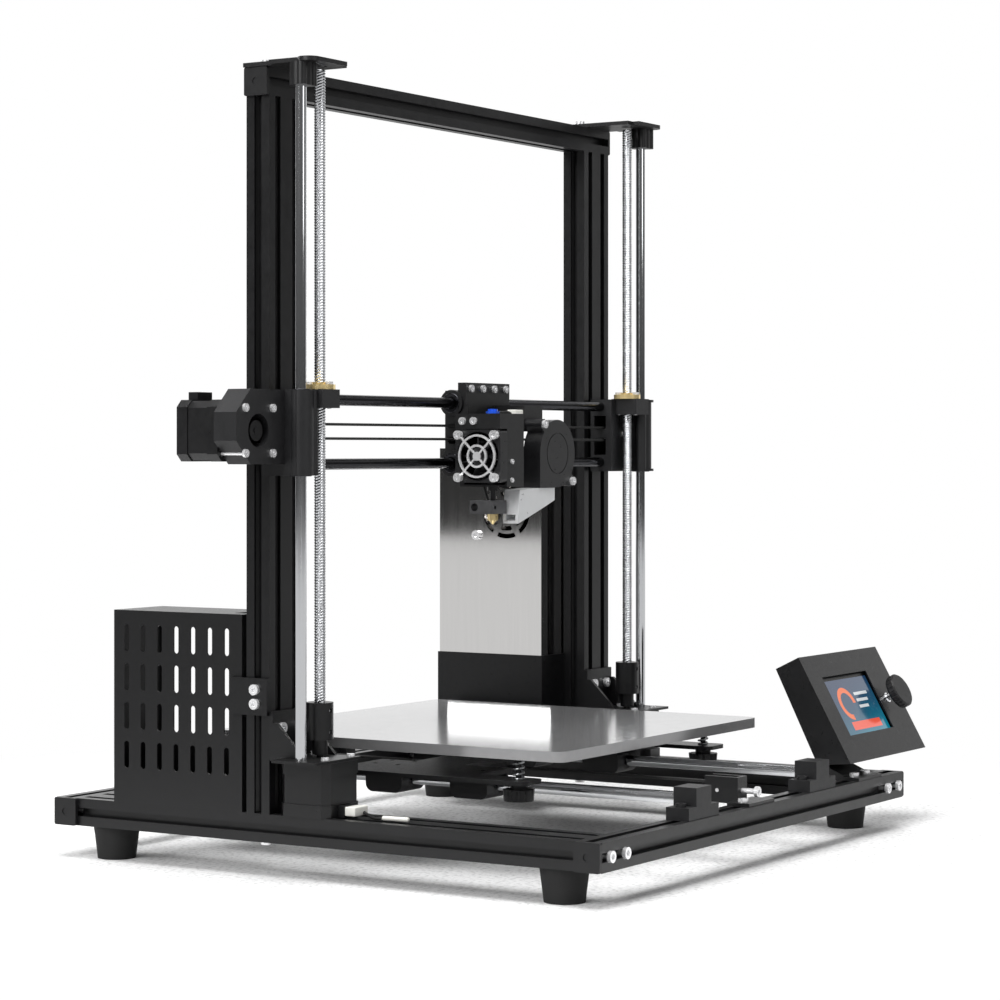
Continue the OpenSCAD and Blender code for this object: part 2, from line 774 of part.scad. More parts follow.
module x_carriage() {
  color("#17181a") difference() {
    union() {
      for (z = [rod_low_z, rod_top_z]) rod_along_x(-22, 45, rod_y, z, 10);
      span([-18, 249, 280], [41, 265, 344]);
      span([-20, 245, 327], [43, 252, 350]);
      span([-20, 243, 304.6], [-2, 262, 325]);
      span([-20, 243, 281], [-8, 252, 325]);
      span([-20, 243, 322], [-8, 252, 334]);
      difference() {
        span([-28, 203, 271], [-4, 245, 326]);
        span([-29, 204.5, 272.5], [-5.5, 241.5, 314.5]);
      }
      for (p = fan_screws) rod_along_x(-28, -23, fan_mid[1] + p[0], fan_mid[2] + p[1], 3.2);
      span([-38, 203, 314.5], [-27, 243, 326]);
      span([21, blower_mid[1] + 15, 313], [48, 249.5, 333]);
    }
    for (z = [rod_low_z, rod_top_z]) rod_along_x(-30, 50, rod_y, z, rod_r + fit);
    span([-30, 252.5, 303.4], [50, 261.5, 308.6]);
    span([-30, 253.9, 315.8], [50, 260.1, 318.4]);
    for (i = [0:3]) rod_along_y(240, 256, -13 + i * 16.5, 345.5, 1.5);
    for (p = fan_screws) rod_along_x(-29, -23.5, fan_mid[1] + p[0], fan_mid[2] + p[1], 1.8);
    rod_along_z(270, 273, nozzle_x, 220.7, 4);
    rod_along_z(314, 324, nozzle_x, 220.7, 7);
    rod_along_z(323, 327, nozzle_x, 220.7, 3);
    for (z = [276, 290]) rod_along_y(202, 205, -21.5, z, 1);
    for (y = [226, 236]) rod_along_x(-39, -29.5, y, 320.5, 1.5);
    rod_along_y(210, 251, blower_mid[0] + blower_ears[0][0], blower_mid[2] + blower_ears[0][1], 1.7);
  }
}

module heatsink() {
  color("#202123") translate([nozzle_x, 220.7, 0]) difference() {
    union() {
      rod_along_z(268, 318, 0, 0, 4);
      intersection() {
        for (i = [0:9]) rod_along_z(276 + 4 * i, 277.6 + 4 * i, 0, 0, 11);
        span([-7.6, -15.7, 270], [15, 19.3, 320]);
      }
      rod_along_z(314.5, 324, 0, 0, 7);
      rod_along_z(260.5, 268.2, 0, 0, 2.2);
    }
    rod_along_z(250, 330, 0, 0, 1);
    rod_along_z(314, 325, 0, 0, 3);
  }
}

module heater_block() {
  color("#a7aaad") difference() {
    span([nozzle_x - 12, 213.5, 250.5], [nozzle_x + 8, 233.5, 260.5]);
    rod_along_x(nozzle_x - 20, nozzle_x + 20, 229.5, 255.5, 3);
    rod_along_z(240, 270, nozzle_x, 220.7, 1);
    rod_along_y(212, 217, nozzle_x - 8, 255.5, 1.4);
  }
}

module nozzle() {
  color("#b08d3e") translate([nozzle_x, 220.7, 0]) difference() {
    union() {
      translate([0, 0, tip_z]) cylinder(r1 = 0.6, r2 = 2.8, h = 3);
      translate([0, 0, tip_z + 3]) cylinder(r = 4, h = 5, $fn = 6);
    }
    rod_along_z(tip_z - 1, 251, 0, 0, 0.2);
  }
}

module bowden_fitting() {
  color("#1d4fd0") translate([nozzle_x, 220.7, 0]) difference() {
    union() {
      rod_along_z(314, 326, 0, 0, 3);
      translate([0, 0, 326]) cylinder(r = 5, h = 2, $fn = 6);
      rod_along_z(328, 329.6, 0, 0, 3.8);
    }
    rod_along_z(313, 331, 0, 0, 1.05);
  }
}

module hotend_fan() {
  h = fan_size / 2;
  color("#0f0f10") translate(fan_mid) difference() {
    translate([0, -h, -h]) rotate([90, 0, 90]) rounded_plate([fan_size, fan_size], 3, 10);
    difference() {
      rotate([0, 90, 0]) translate([0, 0, -1]) cylinder(r = 18.4, h = 12);
      rotate([0, 90, 0]) translate([0, 0, 8.4]) cylinder(r = 7.5, h = 3);
      for (turn = [30, 150, 270]) rotate([turn, 0, 0]) translate([8.4, -1.2, 0]) cube([2, 2.4, 20]);
    }
    for (p = fan_screws) rod_along_x(-1, 12, p[0], p[1], 1.8);
  }
}

module hotend_fan_rotor() {
  color("#18181a") translate(fan_mid) {
    rod_along_x(0.6, 7.9, 0, 0, 7.4);
    for (turn = [0:360 / 7:359]) rotate([turn, 0, 0]) rotate([0, 0, 28])
      translate([2.4, -0.6, 6]) cube([4.6, 1.1, 11.4]);
  }
}

module fan_guard() {
  t = 1.6;
  color("#d2d4d7") translate(fan_mid - [1.9, 0, 0]) difference() {
    union() {
      for (r = [8, 15.6]) rotate([0, 90, 0]) difference() {
        cylinder(r = r + t / 2, h = t);
        translate([0, 0, -1]) cylinder(r = r - t / 2, h = t + 2);
      }
      for (turn = [45:90:315]) rotate([turn, 0, 0]) translate([0.1, -0.7, 2]) cube([1.4, 1.4, 19]);
      for (p = fan_screws) rod_along_x(0, t, p[0], p[1], 3.2);
      rod_along_x(0, t, 0, 0, 3.4);
    }
    for (p = fan_screws) rod_along_x(-1, t + 1, p[0], p[1], 1.8);
  }
}

module blower_outline() {
  circle(r = blower_r);
  translate([-blower_r, -26.4]) square([22, 26.4]);
  for (p = blower_ears) rotate(atan2(p[1], p[0])) {
    translate([20, -4]) square([norm(p) - 20, 8]);
    translate([norm(p), 0]) circle(r = 4);
  }
}

module blower_case() {
  color("#101011") translate(blower_mid) rotate([90, 0, 0]) translate([0, 0, -15]) difference() {
    linear_extrude(15) blower_outline();
    translate([0, 0, 1.2]) cylinder(r = 24.5, h = 12.6);
    translate([0, 0, -1]) cylinder(r = 17, h = 3);
    translate([-24.6, -28, 1.2]) cube([19, 28, 12.6]);
    translate([0, 0, 14.5]) difference() {
      cylinder(r = 16, h = 1);
      translate([0, 0, -1]) cylinder(r = 15.2, h = 3);
    }
    for (p = blower_ears) translate([p[0], p[1], -1]) cylinder(r = 1.7, h = 20);
  }
}

module blower_rotor() {
  color("#18181a") translate(blower_mid + [0, 15, 0]) rotate([90, 0, 0]) {
    translate([0, 0, 12]) cylinder(r = 21.5, h = 1.3);
    translate([0, 0, 2]) cylinder(r = 9, h = 10.2);
    for (turn = [0:18:342]) rotate(turn) translate([15.6, -0.5, 2]) cube([5.4, 1, 10.5]);
  }
}

// clear nozzle that leads the blower's air down and across to the tip
module air_duct() {
  color("#e6e8ea") difference() {
    translate([0, 217.5, 0]) rotate([90, 0, 0]) linear_extrude(13.5)
      polygon([[-8, 268.6], [20, 269.6], [43.2, 269.6], [43.2, 260],
               [27.7, 254.9], [-10.3, 243], [-10.7, 247.2]]);
    translate([0, 216.3, 0]) rotate([90, 0, 0]) linear_extrude(11.1)
      polygon([[-6.6, 267.4], [20, 268.4], [42, 268.4], [42, 261],
               [27.4, 256.2], [-9.2, 244.6], [-9.45, 247.2]]);
    span([21.5, 205.2, 266], [40.3, 216.3, 271]);
    span([-13, 206.5, 245.2], [-8, 215, 249.8]);
  }
}

module carriage_bolts() {
  color("#c9ccd0") {
    for (i = [0:3]) translate([-13 + i * 16.5, 245, 345.5]) rotate([90, 0, 0])
      cap_screw(r = 1.5, len = 10);
    for (p = fan_screws) translate(fan_mid + [-1.9, p[0], p[1]])
      rotate([0, -90, 0]) cap_screw(r = 1.8, len = 15.5);
    for (z = [276, 290]) translate([-21.5, 203, z]) rotate([90, 0, 0]) cap_screw(r = 1, len = 1.4);
    for (y = [226, 236]) translate([-38, y, 320.5]) rotate([0, -90, 0]) cap_screw(r = 1.5, len = 8);
    translate(blower_mid + [blower_ears[0][0], 0, blower_ears[0][1]]) rotate([90, 0, 0])
      cap_screw(r = 1.7, len = 46);
    translate(blower_mid + [blower_ears[1][0], 0, blower_ears[1][1]]) rotate([90, 0, 0])
      cap_screw(r = 1.7, len = 16);
  }
}

// ---------------------------------------------------------------- moving bed

module y_carriage_plate() {
  h = 3;
  color("#17181a") difference() {
    union() {
      for (s = [-1, 1]) {
        translate([s * 103 - 23, 165, plate_z]) rounded_plate([46, 115], 3, h);
        translate([s * knob_x - 13, bed_y - knob_dy - 13, plate_z])
          rounded_plate([26, 2 * knob_dy + 26], 5, h);
      }
      span([-90, 206, plate_z], [90, 252, plate_z + h]);
      span([bed_belt_x - 5, 214, 56], [bed_belt_x + 5, 244, plate_z + 0.01]);
    }
    for (s = [-1, 1], d = [-knob_dy, knob_dy])
      rod_along_z(plate_z - 1, plate_z + h + 1, s * knob_x, bed_y + d, 2 + fit);
    span([bed_belt_x - 3.1, 210, bed_belt_z + pulley_r - 1.3],
         [bed_belt_x + 3.1, 250, bed_belt_z + pulley_r + 1.3]);
    for (s = [-1, 1], y = [185, 259], dx = [-11, 11], dy = [-10, 10])
      rod_along_z(plate_z - 1, plate_z + h + 1, s * bed_rod_x + dx, y + dy, 2);
  }
}

module y_bearing_blocks() {
  color("#1b1c1e") for (s = [-1, 1], y = [185, 259]) difference() {
    translate([s * bed_rod_x - 15, y - 16, 47]) rotate([90, 0, 90])
      rounded_plate([32, plate_z - 47], 6, 30);
    rod_along_y(y - 20, y + 20, s * bed_rod_x, bed_rod_z, rod_r + fit);
    for (e = [-1, 1]) translate([s * bed_rod_x, y + e * 16, bed_rod_z]) rotate([90, 0, 0])
      translate([0, 0, -1]) cylinder(r = 6.8, h = 2);
    for (dx = [-11, 11], dy = [-10, 10])
      rod_along_z(plate_z - 12, plate_z + 1, s * bed_rod_x + dx, y + dy, 2);
  }
}

module build_plate() {
  color("#c9ccd0") difference() {
    translate([-plate_size / 2, bed_y - plate_size / 2, plate_top - 7.5])
      rounded_plate([plate_size, plate_size], 8, 7.5);
    for (s = [-1, 1], d = [-knob_dy, knob_dy])
      rod_along_z(plate_top - 8, plate_top - 1.5, s * knob_x, bed_y + d, 2 + fit);
  }
}

// wound spring drawn as a stack of rings with a thin sleeve between them
module spring() {
  n = 6;
  bottom = plate_z + 3;
  top = plate_top - 7.5;
  pitch = (top - bottom - 1.4) / (n - 1);
  difference() {
    rod_along_z(bottom, top, 0, 0, 3.6);
    rod_along_z(bottom - 1, top + 1, 0, 0, 3);
  }
  for (i = [0:n - 1]) translate([0, 0, bottom + 0.7 + i * pitch]) rotate_extrude()
    translate([3.6, 0]) circle(r = 0.7, $fn = 16);
}

module level_springs() {
  color("#c3c6c9") for (s = [-1, 1], d = [-knob_dy, knob_dy])
    translate([s * knob_x, bed_y + d, 0]) spring();
}

module level_knob(s, d) {
  color("#101011") translate([s * knob_x, bed_y + d, 0]) {
    difference() {
      union() {
        translate([0, 0, 52.5]) cylinder(r1 = 10.6, r2 = 11.3, h = 8.3);
        rod_along_z(60.5, 64.2, 0, 0, 6);
      }
      for (turn = [0:30:330]) rotate(turn) translate([11.9, 0, 52]) cylinder(r = 1.5, h = 9, $fn = 10);
      rod_along_z(52, 64.5, 0, 0, 2);
    }
    rod_along_z(52.5, plate_top - 1.8, 0, 0, 2);
  }
}

module level_knob_fl() level_knob(-1, -knob_dy);
module level_knob_fr() level_knob(1, -knob_dy);
module level_knob_rl() level_knob(-1, knob_dy);
module level_knob_rr() level_knob(1, knob_dy);

module y_belt() {
  color("#0a0a0a") translate([bed_belt_x - belt_w / 2, idler_bed_y, bed_belt_z]) rotate([90, 0, 90])
    belt_loop(motor_bed_y - idler_bed_y);
}

module y_pulley() {
  color("#b9bcc0") translate([bed_belt_x - 4, motor_bed_y, bed_belt_z]) rotate([0, 90, 0]) {
    toothed_pulley(2.5, 2);
    rod_along_z(0, 24, 0, 0, 2.5);
  }
}

module y_idler() {
  color("#c9ccd0") {
    translate([bed_belt_x - 4, idler_bed_y, bed_belt_z]) rotate([0, 90, 0])
      toothed_pulley(1.5, 0.9);
    rod_along_x(-12.6, 1.5, idler_bed_y, bed_belt_z, 1.5 - fit);
  }
}

// ---------------------------------------------------------------- assembly

translate(shift) {
  cross_members();
  side_members();
  uprights();
  frame_end_caps();
  rubber_feet();
  frame_bolts();
  z_top_plates();
  z_motor_brackets();
  stepper_motors();
  z_smooth_rods();
  y_rods();
  y_rod_holders();
  y_belt_brackets();
  electronics_case();
  electronics_lid();
  psu_case();
  psu_cover();
  power_inlet();
  power_switch();
  screen_case();
  screen_display();
  screen_bracket();
  encoder_shaft();
  encoder_knob();
  lead_screw_left();
  lead_screw_right();
  z_coupler_left();
  z_coupler_right();
  x_end_left();
  x_end_right();
  x_rods();
  z_nuts();
  x_motor();
  x_pulley();
  x_idler();
  x_belt();
  gantry_bolts();
  x_carriage();
  heatsink();
  heater_block();
  nozzle();
  bowden_fitting();
  hotend_fan();
  fan_guard();
  hotend_fan_rotor();
  blower_case();
  blower_rotor();
  air_duct();
  carriage_bolts();
  y_carriage_plate();
  y_bearing_blocks();
  build_plate();
  level_springs();
  level_knob_fl();
  level_knob_fr();
  level_knob_rl();
  level_knob_rr();
  y_belt();
  y_pulley();
  y_idler();
}
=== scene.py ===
"""Finish and fine detail of a desktop fused-filament printer on its CAD frame.

Every length is in metres. X runs to the printer's right, Y from its front to its back
and Z upwards, with the origin on the table under the middle of the bounding box.
"""

import logging
import math
from dataclasses import dataclass
from enum import Enum

import bpy
import numpy as np
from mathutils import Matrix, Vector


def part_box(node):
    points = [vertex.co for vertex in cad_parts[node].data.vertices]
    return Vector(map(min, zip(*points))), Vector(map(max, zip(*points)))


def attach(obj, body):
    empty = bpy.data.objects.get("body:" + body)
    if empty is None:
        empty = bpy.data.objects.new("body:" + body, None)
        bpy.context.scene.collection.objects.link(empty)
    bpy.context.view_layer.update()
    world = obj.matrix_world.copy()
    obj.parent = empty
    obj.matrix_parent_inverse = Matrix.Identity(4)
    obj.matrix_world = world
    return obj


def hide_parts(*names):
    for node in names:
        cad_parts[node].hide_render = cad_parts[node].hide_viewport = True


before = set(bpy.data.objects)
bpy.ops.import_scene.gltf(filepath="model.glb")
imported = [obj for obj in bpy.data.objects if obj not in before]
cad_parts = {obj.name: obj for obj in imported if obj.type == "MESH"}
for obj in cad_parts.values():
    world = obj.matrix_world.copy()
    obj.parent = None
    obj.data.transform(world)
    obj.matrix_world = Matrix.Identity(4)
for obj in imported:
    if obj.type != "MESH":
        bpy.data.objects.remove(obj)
log = logging.getLogger("printer")
MM = 0.001
SMOOTHEST = 0.04
END_RING = 0.02
LEAD_STEPS = 14
LEAD_SIDES = 10
LEAD_UP = (0.31, 0.17, 0.93)
PLUG_ROUNDING = 0.7
DUST_COLOUR = (0.42, 0.41, 0.40, 1)
LOW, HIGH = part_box("cross_members")
FRONT = LOW[1]
SIDE = (LOW[0] + HIGH[0]) / 2


def place(x: float, y: float, z: float) -> np.ndarray:
    """Turns millimetres measured from the frame's front middle into the row frame.

    Args:
        x: distance to the printer's right of the frame's middle plane.
        y: distance behind the front face of the front member.
        z: height above the table.

    Returns:
        The point in metres.
    """
    return np.array([x * MM + SIDE, y * MM + FRONT, z * MM])


# ------------------------------------------------------------------ node tools


class Side(Enum):
    """The printer's two sides, with the sign of X on each."""

    LEFT = -1
    RIGHT = 1

    @property
    def word(self) -> str:
        """The side's name as it stands in node names."""
        return self.name.lower()


def link(tree: bpy.types.NodeTree, source: bpy.types.NodeSocket,
         target: bpy.types.NodeSocket) -> None:
    """Joins two sockets."""
    tree.links.new(source, target)


def math_node(tree: bpy.types.NodeTree, operation: str, a: object,
              b: object = 0.0) -> bpy.types.NodeSocket:
    """Adds a Math node.

    Args:
        tree: the node tree that takes it.
        operation: the node's operation.
        a: a socket or a number.
        b: a socket or a number.

    Returns:
        The node's output socket.
    """
    node = tree.nodes.new("ShaderNodeMath")
    node.operation = operation
    for socket, value in zip(node.inputs, (a, b)):
        if isinstance(value, bpy.types.NodeSocket):
            link(tree, value, socket)
        else:
            socket.default_value = value
    return node.outputs[0]


def surface_group() -> bpy.types.NodeTree:
    """Builds the group that breaks up colour, gloss and height over a surface.

    The colour is scaled by one plus the contrast times a centred coarse noise, the
    roughness gains the spread times a second noise, and the height is a fine noise.

    Returns:
        The node group.
    """
    tree = bpy.data.node_groups.new("SurfaceBreakup", "ShaderNodeTree")
    face = tree.interface
    face.new_socket("Colour", in_out="INPUT", socket_type="NodeSocketColor")
    for name, value in (("Contrast", 0.3), ("Scale", 90.0), ("Roughness", 0.5), ("Spread", 0.2)):
        socket = face.new_socket(name, in_out="INPUT", socket_type="NodeSocketFloat")
        socket.default_value = value
    stretch_in = face.new_socket("Stretch", in_out="INPUT", socket_type="NodeSocketVector")
    stretch_in.default_value = (1, 1, 1)
    face.new_socket("Colour", in_out="OUTPUT", socket_type="NodeSocketColor")
    face.new_socket("Roughness", in_out="OUTPUT", socket_type="NodeSocketFloat")
    face.new_socket("Height", in_out="OUTPUT", socket_type="NodeSocketFloat")
    given = tree.nodes.new("NodeGroupInput")
    result = tree.nodes.new("NodeGroupOutput")
    spot = tree.nodes.new("ShaderNodeTexCoord")
    stretch = tree.nodes.new("ShaderNodeVectorMath")
    stretch.operation = "MULTIPLY"
    link(tree, spot.outputs["Object"], stretch.inputs[0])
    link(tree, given.outputs["Stretch"], stretch.inputs[1])
    noises = []
    for factor, detail in ((0.25, 2.0), (1.0, 4.0), (9.0, 3.0)):
        noise = tree.nodes.new("ShaderNodeTexNoise")
        noise.inputs["Detail"].default_value = detail
        link(tree, stretch.outputs[0], noise.inputs["Vector"])
        link(tree, math_node(tree, "MULTIPLY", given.outputs["Scale"], factor),
             noise.inputs["Scale"])
        noises.append(noise.outputs["Fac"])
    both = math_node(tree, "ADD", math_node(tree, "SUBTRACT", noises[0], 0.5),
                     math_node(tree, "SUBTRACT", noises[1], 0.5))
    gain = math_node(tree, "ADD", math_node(tree, "MULTIPLY", both, given.outputs["Contrast"]), 1.0)
    tint = tree.nodes.new("ShaderNodeVectorMath")
    tint.operation = "SCALE"
    link(tree, given.outputs["Colour"], tint.inputs[0])
    link(tree, gain, tint.inputs["Scale"])
    rough = math_node(tree, "ADD", given.outputs["Roughness"],
                      math_node(tree, "MULTIPLY", both, given.outputs["Spread"]))
    rough = math_node(tree, "MINIMUM", math_node(tree, "MAXIMUM", rough, SMOOTHEST), 1.0)
    link(tree, tint.outputs[0], result.inputs["Colour"])
    link(tree, rough, result.inputs["Roughness"])
    link(tree, noises[2], result.inputs["Height"])
    return tree


def dust_group() -> bpy.types.NodeTree:
    """Builds the group that lays faint dust on faces that look up.

    The mask is the upward part of the normal, cubed, times a soft noise and the amount.

    Returns:
        The node group.
    """
    tree = bpy.data.node_groups.new("SettledDust", "ShaderNodeTree")
    face = tree.interface
    face.new_socket("Colour", in_out="INPUT", socket_type="NodeSocketColor")
    amount = face.new_socket("Amount", in_out="INPUT", socket_type="NodeSocketFloat")
    amount.default_value = 0.1
    face.new_socket("Colour", in_out="OUTPUT", socket_type="NodeSocketColor")
    given = tree.nodes.new("NodeGroupInput")
    result = tree.nodes.new("NodeGroupOutput")
    shape = tree.nodes.new("ShaderNodeNewGeometry")
    parts = tree.nodes.new("ShaderNodeSeparateXYZ")
    link(tree, shape.outputs["Normal"], parts.inputs[0])
    up = math_node(tree, "POWER", math_node(tree, "MAXIMUM", parts.outputs["Z"], 0.0), 3.0)
    spot = tree.nodes.new("ShaderNodeTexCoord")
    noise = tree.nodes.new("ShaderNodeTexNoise")
    noise.inputs["Scale"].default_value = 60.0
    noise.inputs["Detail"].default_value = 4.0
    link(tree, spot.outputs["Object"], noise.inputs["Vector"])
    mask = math_node(tree, "MULTIPLY", up, noise.outputs["Fac"])
    mask = math_node(tree, "MULTIPLY", mask, given.outputs["Amount"])
    mix = tree.nodes.new("ShaderNodeMix")
    mix.data_type = "RGBA"
    link(tree, mask, mix.inputs["Factor"])
    link(tree, given.outputs["Colour"], mix.inputs[6])
    mix.inputs[7].default_value = DUST_COLOUR
    link(tree, mix.outputs[2], result.inputs["Colour"])
    return tree


GROUPS: dict[str, bpy.types.NodeTree] = {}


def group(name: str) -> bpy.types.NodeTree:
    """Gives a shared node group, built the first time it is asked for."""
    if name not in GROUPS:
        GROUPS[name] = {"surface": surface_group, "dust": dust_group}[name]()
    return GROUPS[name]


@dataclass(frozen=True)
class Finish:
    """One surface finish, with its colour, gloss and the pattern that breaks it up.

    The scale is the pattern's cells per metre, the stretch scales it along each axis, the
    contrast and spread say how far it moves colour and gloss, and the depth is its height.
    """

    name: str
    colour: tuple[float, float, float]
    metallic: float = 0.0
    roughness: float = 0.5
    specular: float = 0.5
    scale: float = 220.0
    contrast: float = 0.35
    spread: float = 0.15
    bump: float = 0.12
    depth: float = 0.00006
    stretch: tuple[float, float, float] = (1.0, 1.0, 1.0)
    dust: float = 0.0
    coat: float = 0.0
    transmission: float = 0.0

    def build(self) -> bpy.types.Material:
        """Makes the material: breakup, dust, bump and the Principled shader.

        Returns:
            The material, made only once for each finish.
        """
        known = bpy.data.materials.get(self.name)
        if known:
            return known
        material = bpy.data.materials.new(self.name)
        material.use_nodes = True
        tree = material.node_tree
        shader = tree.nodes["Principled BSDF"]
        breakup = tree.nodes.new("ShaderNodeGroup")
        breakup.node_tree = group("surface")
        for name, value in (("Colour", (*self.colour, 1)), ("Contrast", self.contrast),
                            ("Scale", self.scale), ("Roughness", self.roughness),
                            ("Spread", self.spread), ("Stretch", self.stretch)):
            breakup.inputs[name].default_value = value
        colour = breakup.outputs["Colour"]
        if self.dust:
            film = tree.nodes.new("ShaderNodeGroup")
            film.node_tree = group("dust")
            film.inputs["Amount"].default_value = self.dust
            link(tree, colour, film.inputs["Colour"])
            colour = film.outputs["Colour"]
        link(tree, colour, shader.inputs["Base Color"])
        link(tree, breakup.outputs["Roughness"], shader.inputs["Roughness"])
        bump = tree.nodes.new("ShaderNodeBump")
        bump.inputs["Strength"].default_value = self.bump
        bump.inputs["Distance"].default_value = self.depth
        link(tree, breakup.outputs["Height"], bump.inputs["Height"])
        link(tree, bump.outputs["Normal"], shader.inputs["Normal"])
        for name, value in (("Metallic", self.metallic), ("Specular IOR Level", self.specular),
                            ("Coat Weight", self.coat), ("Coat Roughness", 0.12),
                            ("Transmission Weight", self.transmission)):
            shader.inputs[name].default_value = value
        return material


ANODISED = Finish("black_anodised_profile", (0.005, 0.005, 0.0055), roughness=0.34, specular=0.42,
                  scale=400, contrast=0.5, spread=0.12, bump=0.10, depth=0.00004, dust=0.03)
MOULDED = Finish("black_moulded_plastic", (0.006, 0.006, 0.0065), roughness=0.42, specular=0.42,
                 scale=900, bump=0.2, dust=0.03)
CAST_PLASTIC = Finish("grey_black_bracket_plastic", (0.009, 0.009, 0.010), roughness=0.46,
                      specular=0.42, scale=700, bump=0.22, dust=0.04)
POWDER = Finish("black_powder_coat", (0.006, 0.006, 0.0065), roughness=0.34, specular=0.42,
                scale=1500, bump=0.35, depth=0.0001, dust=0.03)
PANEL = Finish("smooth_screen_housing", (0.0045, 0.0045, 0.005), roughness=0.32, specular=0.40,
               scale=1300, bump=0.25, dust=0.02)
RUBBER = Finish("matt_foot_rubber", (0.010, 0.010, 0.010), roughness=0.7, specular=0.35,
                scale=500, contrast=0.5, bump=0.3, dust=0.08)
MOTOR = Finish("motor_enamel", (0.006, 0.006, 0.0065), roughness=0.34, specular=0.42,
               scale=260, bump=0.18, dust=0.03)
STEEL = Finish("polished_rod_steel", (0.80, 0.81, 0.83), metallic=1, roughness=0.09, scale=120,
               contrast=0.10, spread=0.05, bump=0.04, depth=0.00002, stretch=(1, 1, 0.06))
BED_STEEL = Finish("polished_bed_rod", (0.78, 0.79, 0.81), metallic=1, roughness=0.10, scale=120,
                   contrast=0.12, spread=0.06, bump=0.04, depth=0.00002, stretch=(1, 0.06, 1))
DARK_ROD = Finish("blued_cross_rod", (0.045, 0.045, 0.05), metallic=1, roughness=0.22, scale=140,
                  contrast=0.3, spread=0.1, bump=0.05, depth=0.00002, stretch=(0.06, 1, 1))
SCREW = Finish("nickel_screw_head", (0.94, 0.94, 0.95), metallic=0.62, roughness=0.20, scale=600,
               contrast=0.15, bump=0.1)
THREAD = Finish("rolled_thread_steel", (0.62, 0.63, 0.65), metallic=1, roughness=0.26, scale=500,
                contrast=0.3, bump=0.08)
ALUMINIUM = Finish("turned_aluminium", (0.72, 0.73, 0.74), metallic=1, roughness=0.34, scale=160,
                   contrast=0.15, spread=0.12, depth=0.00003, stretch=(1, 1, 9))
SUPPLY = Finish("brushed_supply_sheet", (0.86, 0.85, 0.84), metallic=1, roughness=0.05, scale=70,
                contrast=0.05, spread=0.02, bump=0.03, depth=0.00001, stretch=(1, 12, 0.35))
BED = Finish("fine_ground_build_plate", (0.40, 0.40, 0.405), metallic=0.62, roughness=0.15,
             scale=260, contrast=0.12, spread=0.06, bump=0.07, depth=0.00003)
BRASS = Finish("machined_brass", (0.96, 0.76, 0.38), metallic=0.7, roughness=0.22, scale=400,
               contrast=0.12, bump=0.08)
HEATER = Finish("dark_heater_block", (0.16, 0.16, 0.165), metallic=1, roughness=0.42, scale=300,
                contrast=0.3)
BELT = Finish("belt_rubber", (0.010, 0.010, 0.010), roughness=0.62, specular=0.35, scale=900,
              contrast=0.4, bump=0.3)
DUCT = Finish("milky_duct_plastic", (0.86, 0.87, 0.88), roughness=0.3, scale=120, contrast=0.08,
              spread=0.1, bump=0.05, coat=0.3, transmission=0.25)
BLUE = Finish("blue_collet_plastic", (0.01, 0.10, 0.75), roughness=0.3, scale=500, contrast=0.15,
              coat=0.3)
RED = Finish("red_rocker_plastic", (0.55, 0.012, 0.01), roughness=0.3, scale=500, contrast=0.12,
             coat=0.3)
NYLON = Finish("white_connector_nylon", (0.80, 0.79, 0.74), roughness=0.45, scale=500,
               contrast=0.08, bump=0.1)
CHROME = Finish("plated_guard_wire", (0.96, 0.96, 0.97), metallic=0.55, roughness=0.16, scale=300,
                contrast=0.08, bump=0.03)
FAN_BLACK = Finish("glossy_fan_plastic", (0.010, 0.010, 0.011), roughness=0.32, scale=700,
                   dust=0.02)
LEAD = Finish("black_lead_sleeve", (0.012, 0.012, 0.012), roughness=0.55, specular=0.4, scale=700,
              bump=0.2)
SPRING = Finish("spring_steel", (0.58, 0.59, 0.60), metallic=1, roughness=0.28, scale=400,
                contrast=0.3)


def dress(finish: Finish, *names: str) -> None:
    """Gives carried-over CAD nodes a finish.

    Args:
        finish: the finish to build.
        names: the CAD nodes.
    """
    material = finish.build()
    for name in names:
        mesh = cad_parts[name].data
        mesh.materials.clear()
        mesh.materials.append(material)
        log.info("%s finished in %s", name, finish.name)


# ------------------------------------------------------------------ surface tools


def mesh_piece(name: str, points: np.ndarray, faces: np.ndarray, finish: Finish, body: str,
               smooth: bool = True) -> bpy.types.Object:
    """Puts computed points and quads into a mesh that rides on a body.

    Args:
        name: the piece's name.
        points: an array of points, one row each, in metres.
        faces: an array of quads, one row of four point numbers each.
        finish: its finish.
        body: the CAD body that it rides on.
        smooth: whether the faces are shaded smooth.

    Returns:
        The new object.
    """
    mesh = bpy.data.meshes.new(name)
    mesh.from_pydata(points.reshape(-1, 3).tolist(), [], faces.tolist())
    mesh.polygons.foreach_set("use_smooth", np.full(len(mesh.polygons), smooth))
    mesh.update()
    mesh.validate()
    obj = bpy.data.objects.new(name, mesh)
    bpy.context.scene.collection.objects.link(obj)
    mesh.materials.append(finish.build())
    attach(obj, body)
    log.info("%s: %d points", name, len(mesh.vertices))
    return obj


def grid_faces(rows: int, columns: int, wrap_rows: bool = False,
               wrap_columns: bool = True) -> np.ndarray:
    """Numbers the quads of a grid of points stored row by row.

    Args:
        rows: how many rows of points.
        columns: how many points in a row.
        wrap_rows: whether the last row joins the first.
        wrap_columns: whether each row closes on itself.

    Returns:
        One row of four point numbers for each quad.
    """
    last_row = rows if wrap_rows else rows - 1
    last_column = columns if wrap_columns else columns - 1
    i, j = np.meshgrid(np.arange(last_row), np.arange(last_column), indexing="ij")
    i, j = i.ravel(), j.ravel()
    down, right = (i + 1) % rows, (j + 1) % columns
    return np.stack([i * columns + j, i * columns + right,
                     down * columns + right, down * columns + j], 1)


